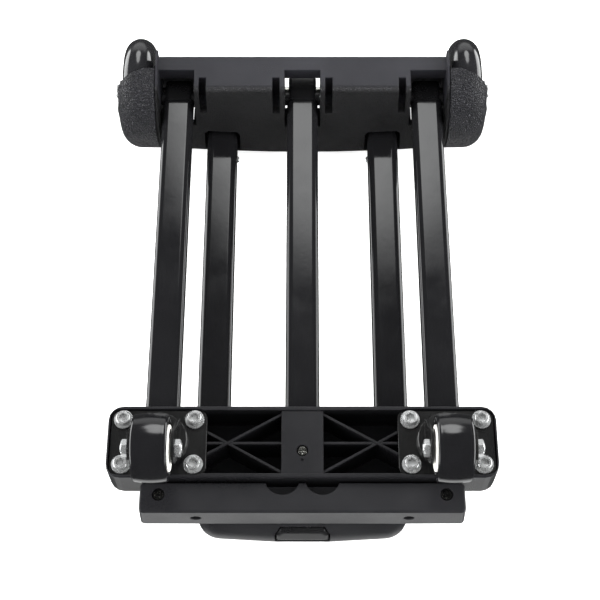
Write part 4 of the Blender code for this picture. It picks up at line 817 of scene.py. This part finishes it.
for sign in (-1, 1):
    pit = lathe(bmesh.new(), RECESS, "Z", (sign * RECESS_X, RECESS_Y, 0.0), 96)
    seat = drum(4.0, 56.9, 70.0, "Z", (sign * COLLAR_SCREW_X, COLLAR_SCREW_Y, 0.0), 64)
    hole = drum(3.4, 172.0, 190.0, "Y", (sign * COLLAR_HOLE_X, 0.0, COLLAR_HOLE_Z), 48)
    steps += [("DIFFERENCE", pit), ("DIFFERENCE", seat), ("DIFFERENCE", hole)]
stand_for("handle_collar_moulded", carved(collar, *steps), "handle_collar", 28)


# Casters

CASTER_Y = -137.1
ROLL_Y = -153.6
ROLL_Z = 98.2
CASTER_CROWN = 20.77
CASTER_HALF = 10.75
CROWN_DROP = 0.7
CROWN_EDGE = 0.8
CROWN_STEPS = 20
CASTER_CORNER = arc((18.1, 8.6), 2.0, 90, 8, 8, 2.15 / 2)
CASTER_WALL = [(14.3, 9.6), (15.6, 10.3), (16.6, 10.72), *CASTER_CORNER]
CORE_FACE = 11.25
CASTER_CORE = [(3.3, CORE_FACE), (5.6, CORE_FACE), (6.0, CORE_FACE - 0.5), (11.2, CORE_FACE - 0.7),
               (11.6, CORE_FACE), (13.5, CORE_FACE), (13.9, CORE_FACE - 0.3), (14.0, CORE_FACE - 0.9)]
NUT_LOW = 14.05
NUT_HIGH = 17.65
AXLE_NUT = [(3.02, NUT_LOW), (4.68, NUT_LOW), (4.68, NUT_LOW + 0.1, "hex"), (4.68, NUT_HIGH - 0.55, "hex"),
            (4.6, NUT_HIGH), (3.4, NUT_HIGH), (3.02, NUT_HIGH - 0.4)]
PLATE_TOP = 64.2
PLATE_SECTION = (60.0, 42.5, 5.0)
PLATE_EDGE = 0.35
RACE_TOP = PLATE_TOP + 2.8
SWIVEL_RACE = [(18.9, PLATE_TOP - 0.1), (18.5, PLATE_TOP + 0.4), (18.5, RACE_TOP - 1.5),
               (18.0, RACE_TOP - 0.8), (17.2, RACE_TOP - 0.3), (16.3, RACE_TOP), (0.0, RACE_TOP)]
RIVET_SEAT = RACE_TOP + 2.6
SWIVEL_RIVET = [(4.5, RACE_TOP - 0.2), (4.5, RIVET_SEAT), (6.8, RIVET_SEAT), (7.0, RIVET_SEAT + 0.3),
                (7.0, RIVET_SEAT + 1.1), (6.3, RIVET_SEAT + 1.8), (4.8, RIVET_SEAT + 2.3),
                (2.6, RIVET_SEAT + 2.4), (0.0, RIVET_SEAT + 2.2)]
WASHER_LOW = PLATE_TOP + 0.3
WASHER_TOP = WASHER_LOW + 1.2
WASHER = [(3.2, WASHER_LOW), (5.9, WASHER_LOW), (6.0, WASHER_LOW + 0.15), (6.0, WASHER_TOP - 0.15),
          (5.85, WASHER_TOP), (4.2, WASHER_TOP + 0.02), (3.2, WASHER_TOP)]
HEAD_TOP = WASHER_TOP + 3.4
PLATE_BOLT = [(3.0, PLATE_TOP - 14.0), (3.0, WASHER_TOP + 0.05), (4.4, WASHER_TOP + 0.05),
              (4.6, WASHER_TOP + 0.3), (4.6, HEAD_TOP - 0.9), (4.4, HEAD_TOP - 0.4), (3.9, HEAD_TOP),
              (3.1, HEAD_TOP), (2.5, HEAD_TOP, "hex"), (2.45, HEAD_TOP - 1.9, "hex"), (0.0, HEAD_TOP - 2.1)]
BOLT_X = 22.2
BOLT_Y = 14.7

crown = []
for k in range(CROWN_STEPS + 1):
    share = CROWN_EDGE * (1 - 2 * k / CROWN_STEPS)
    crown.append((CASTER_CROWN - CROWN_DROP * (share / CROWN_EDGE) ** 2, CASTER_HALF * share))

for side, sign in SIDES:
    x = sign * STATION_X
    roll = (x, ROLL_Y, ROLL_Z)
    swivel = (x, CASTER_Y, 0.0)
    tyre = lathe(bmesh.new(), mirrored(CASTER_WALL, crown), "X", roll, 160, closed=True)
    stand_for(f"caster_tyre_{side}_cast", tyre, f"caster_tyre_{side}")
    core = lathe(bmesh.new(), mirrored(CASTER_CORE), "X", roll, 128, closed=True)
    stand_for(f"caster_core_{side}_moulded", core, f"caster_core_{side}")

    shape = pin(3.0, 18.25, 0.4, roll, 48)
    for turn in (-1, 1):
        lathe(shape, scaled(AXLE_NUT, 1, turn), "X", roll, 96, closed=True)
    stand_for(f"caster_axle_{side}_nutted", shape, f"caster_axle_{side}", 25)

    full, trimmed = drawn_in(PLATE_SECTION, 0.0), drawn_in(PLATE_SECTION, PLATE_EDGE)
    rings = [(trimmed, PLATE_TOP - 2.3), (full, PLATE_TOP - 2.0), (full, PLATE_TOP - PLATE_EDGE),
             (trimmed, PLATE_TOP)]
    shape = skin(bmesh.new(), rings, "Z", swivel)
    lathe(shape, SWIVEL_RACE, "Z", swivel, 96)
    lathe(shape, SWIVEL_RIVET, "Z", swivel, 64)
    stand_for(f"caster_plate_{side}_pressed", shape, f"caster_plate_{side}")

    places = [(x + dx * BOLT_X, CASTER_Y + dy * BOLT_Y, 0.0) for dy in (-1, 1) for dx in (-1, 1)]
    for number, at in enumerate(places, 1):
        shape = lathe(bmesh.new(), WASHER, "Z", at, 72, closed=True)
        lathe(shape, PLATE_BOLT, "Z", at, 72)
        stand_for(f"caster_bolt_{side}_{number}_socket", shape, f"caster_bolt_{side}_{number}")


# Cross-recess screws

def standing_screw(node, x, y, top, radius, height, shank, tip):
    low = top - height
    rows = [(0.0, tip), (shank, tip), (shank, low), (radius, low), (radius, low + height * 0.35),
            (radius * 0.92, low + height * 0.7), (radius * 0.76, top), (radius * 0.68, top),
            (radius * 0.64, top, "cross"), (radius * 0.5, top - height * 0.7, "cross"),
            (0.0, top - height * 0.8)]
    stand_for(f"{node}_crossed", lathe(bmesh.new(), rows, "Z", (x, y, 0.0), 128), node, 25)


standing_screw("panel_screw", 0.0, -142.8, 64.8, 3.4, 1.1, 1.9, 48.0)
for side, sign in SIDES:
    standing_screw(f"collar_screw_{side}", sign * COLLAR_SCREW_X, COLLAR_SCREW_Y, 58.6, 3.6, 1.3, 1.1, 34.3)


# Floor, with its sizes in millimetres too

FLOOR_ROWS = [(0.0, 0.0), (36000.0, 0.0), (38000.0, 300.0), (39500.0, 1200.0), (40000.0, 4000.0)]
floor = object_from("floor", lathe(bmesh.new(), FLOOR_ROWS, "Z", ORIGIN, 96))
floor_material, floor_shader = new_material("floor", (0.93, 0.93, 0.93), 0.7, specular=0.1)
floor_shader.inputs["Emission Color"].default_value = (1.0, 1.0, 1.0, 1.0)
away = vector_arithmetic(floor_material, "LENGTH", object_coordinates(floor_material))
glow = remap(floor_material, away, 1.2, 3.6, 0.5, 1.0)
feed(floor_material, glow, floor_shader.inputs["Emission Strength"])
floor.visible_glossy = False
floor.data.materials.append(floor_material)


# Sky with soft panels, for the reflections

SKY_BASE = 0.06
SKY_COLOUR = (0.99, 1.0, 1.0, 1.0)
PANELS = (
    {"aim": (3, 51), "stretch": (1.0, 1.0, 1.0), "inner": 6.5, "outer": 12, "level": 4.4},
    {"aim": (1, 38), "stretch": (1.0, 1.0, 1.0), "inner": 9, "outer": 14, "level": 4.2},
    {"aim": (0, 8), "stretch": (0.5, 1.0, 1.0), "inner": 8, "outer": 20, "level": 0.7},
    {"aim": (70, -5), "stretch": (1.0, 0.35, 1.0), "inner": 18, "outer": 23, "level": 4.2},
    {"aim": (-70, -5), "stretch": (1.0, 0.35, 1.0), "inner": 18, "outer": 23, "level": 4.2},
    {"aim": (180, -76), "stretch": (0.7, 1.0, 1.0), "inner": 12, "outer": 23, "level": 1.0},
)

SCENE.view_settings.view_transform = "Standard"
world = bpy.data.worlds.new("studio")
SCENE.world = world
world.use_nodes = True
sky = world.node_tree.nodes["Background"]
direction = world.node_tree.nodes.new("ShaderNodeTexCoord").outputs["Generated"]


def soft_panel(aim, stretch, inner, outer, level):
    """Radiance of a soft oval panel about an azimuth and elevation, faded between two angles in degrees."""
    a, e = (math.radians(angle) for angle in aim)
    towards = (math.sin(a) * math.cos(e), math.cos(a) * math.cos(e), math.sin(e))
    centre = Vector(p * q for p, q in zip(towards, stretch)).normalized()
    unit = vector_arithmetic(world, "NORMALIZE", vector_arithmetic(world, "MULTIPLY", direction, stretch))
    facing = vector_arithmetic(world, "DOT_PRODUCT", unit, centre)
    low, high = (math.cos(math.radians(angle)) for angle in (outer, inner))
    return remap(world, facing, low, high, 0.0, level, "SMOOTHSTEP")


radiance = soft_panel(**PANELS[0])
for panel in PANELS[1:]:
    radiance = arithmetic(world, "MAXIMUM", radiance, soft_panel(**panel))
feed(world, arithmetic(world, "ADD", radiance, SKY_BASE), sky.inputs["Strength"])
sky.inputs["Color"].default_value = SKY_COLOUR


# Lamps, in metres and watts, which no reflection shows

def area_light(name, place, aim, size, power):
    data = bpy.data.lights.new(name, "AREA")
    data.shape = "RECTANGLE"
    data.size = size
    data.size_y = size
    data.energy = power
    lamp = bpy.data.objects.new(name, data)
    SCENE.collection.objects.link(lamp)
    lamp.location = place
    lamp.rotation_euler = (Vector(aim) - Vector(place)).to_track_quat("-Z", "Y").to_euler()
    lamp.visible_glossy = False


area_light("overhead", (0.0, -0.1, 2.0), ORIGIN, 3.2, 75.0)
for side, sign in SIDES:
    area_light(f"fill_{side}", (sign * 1.6, -0.4, 0.7), (0.0, -0.05, 0.05), 1.5, 72.0)
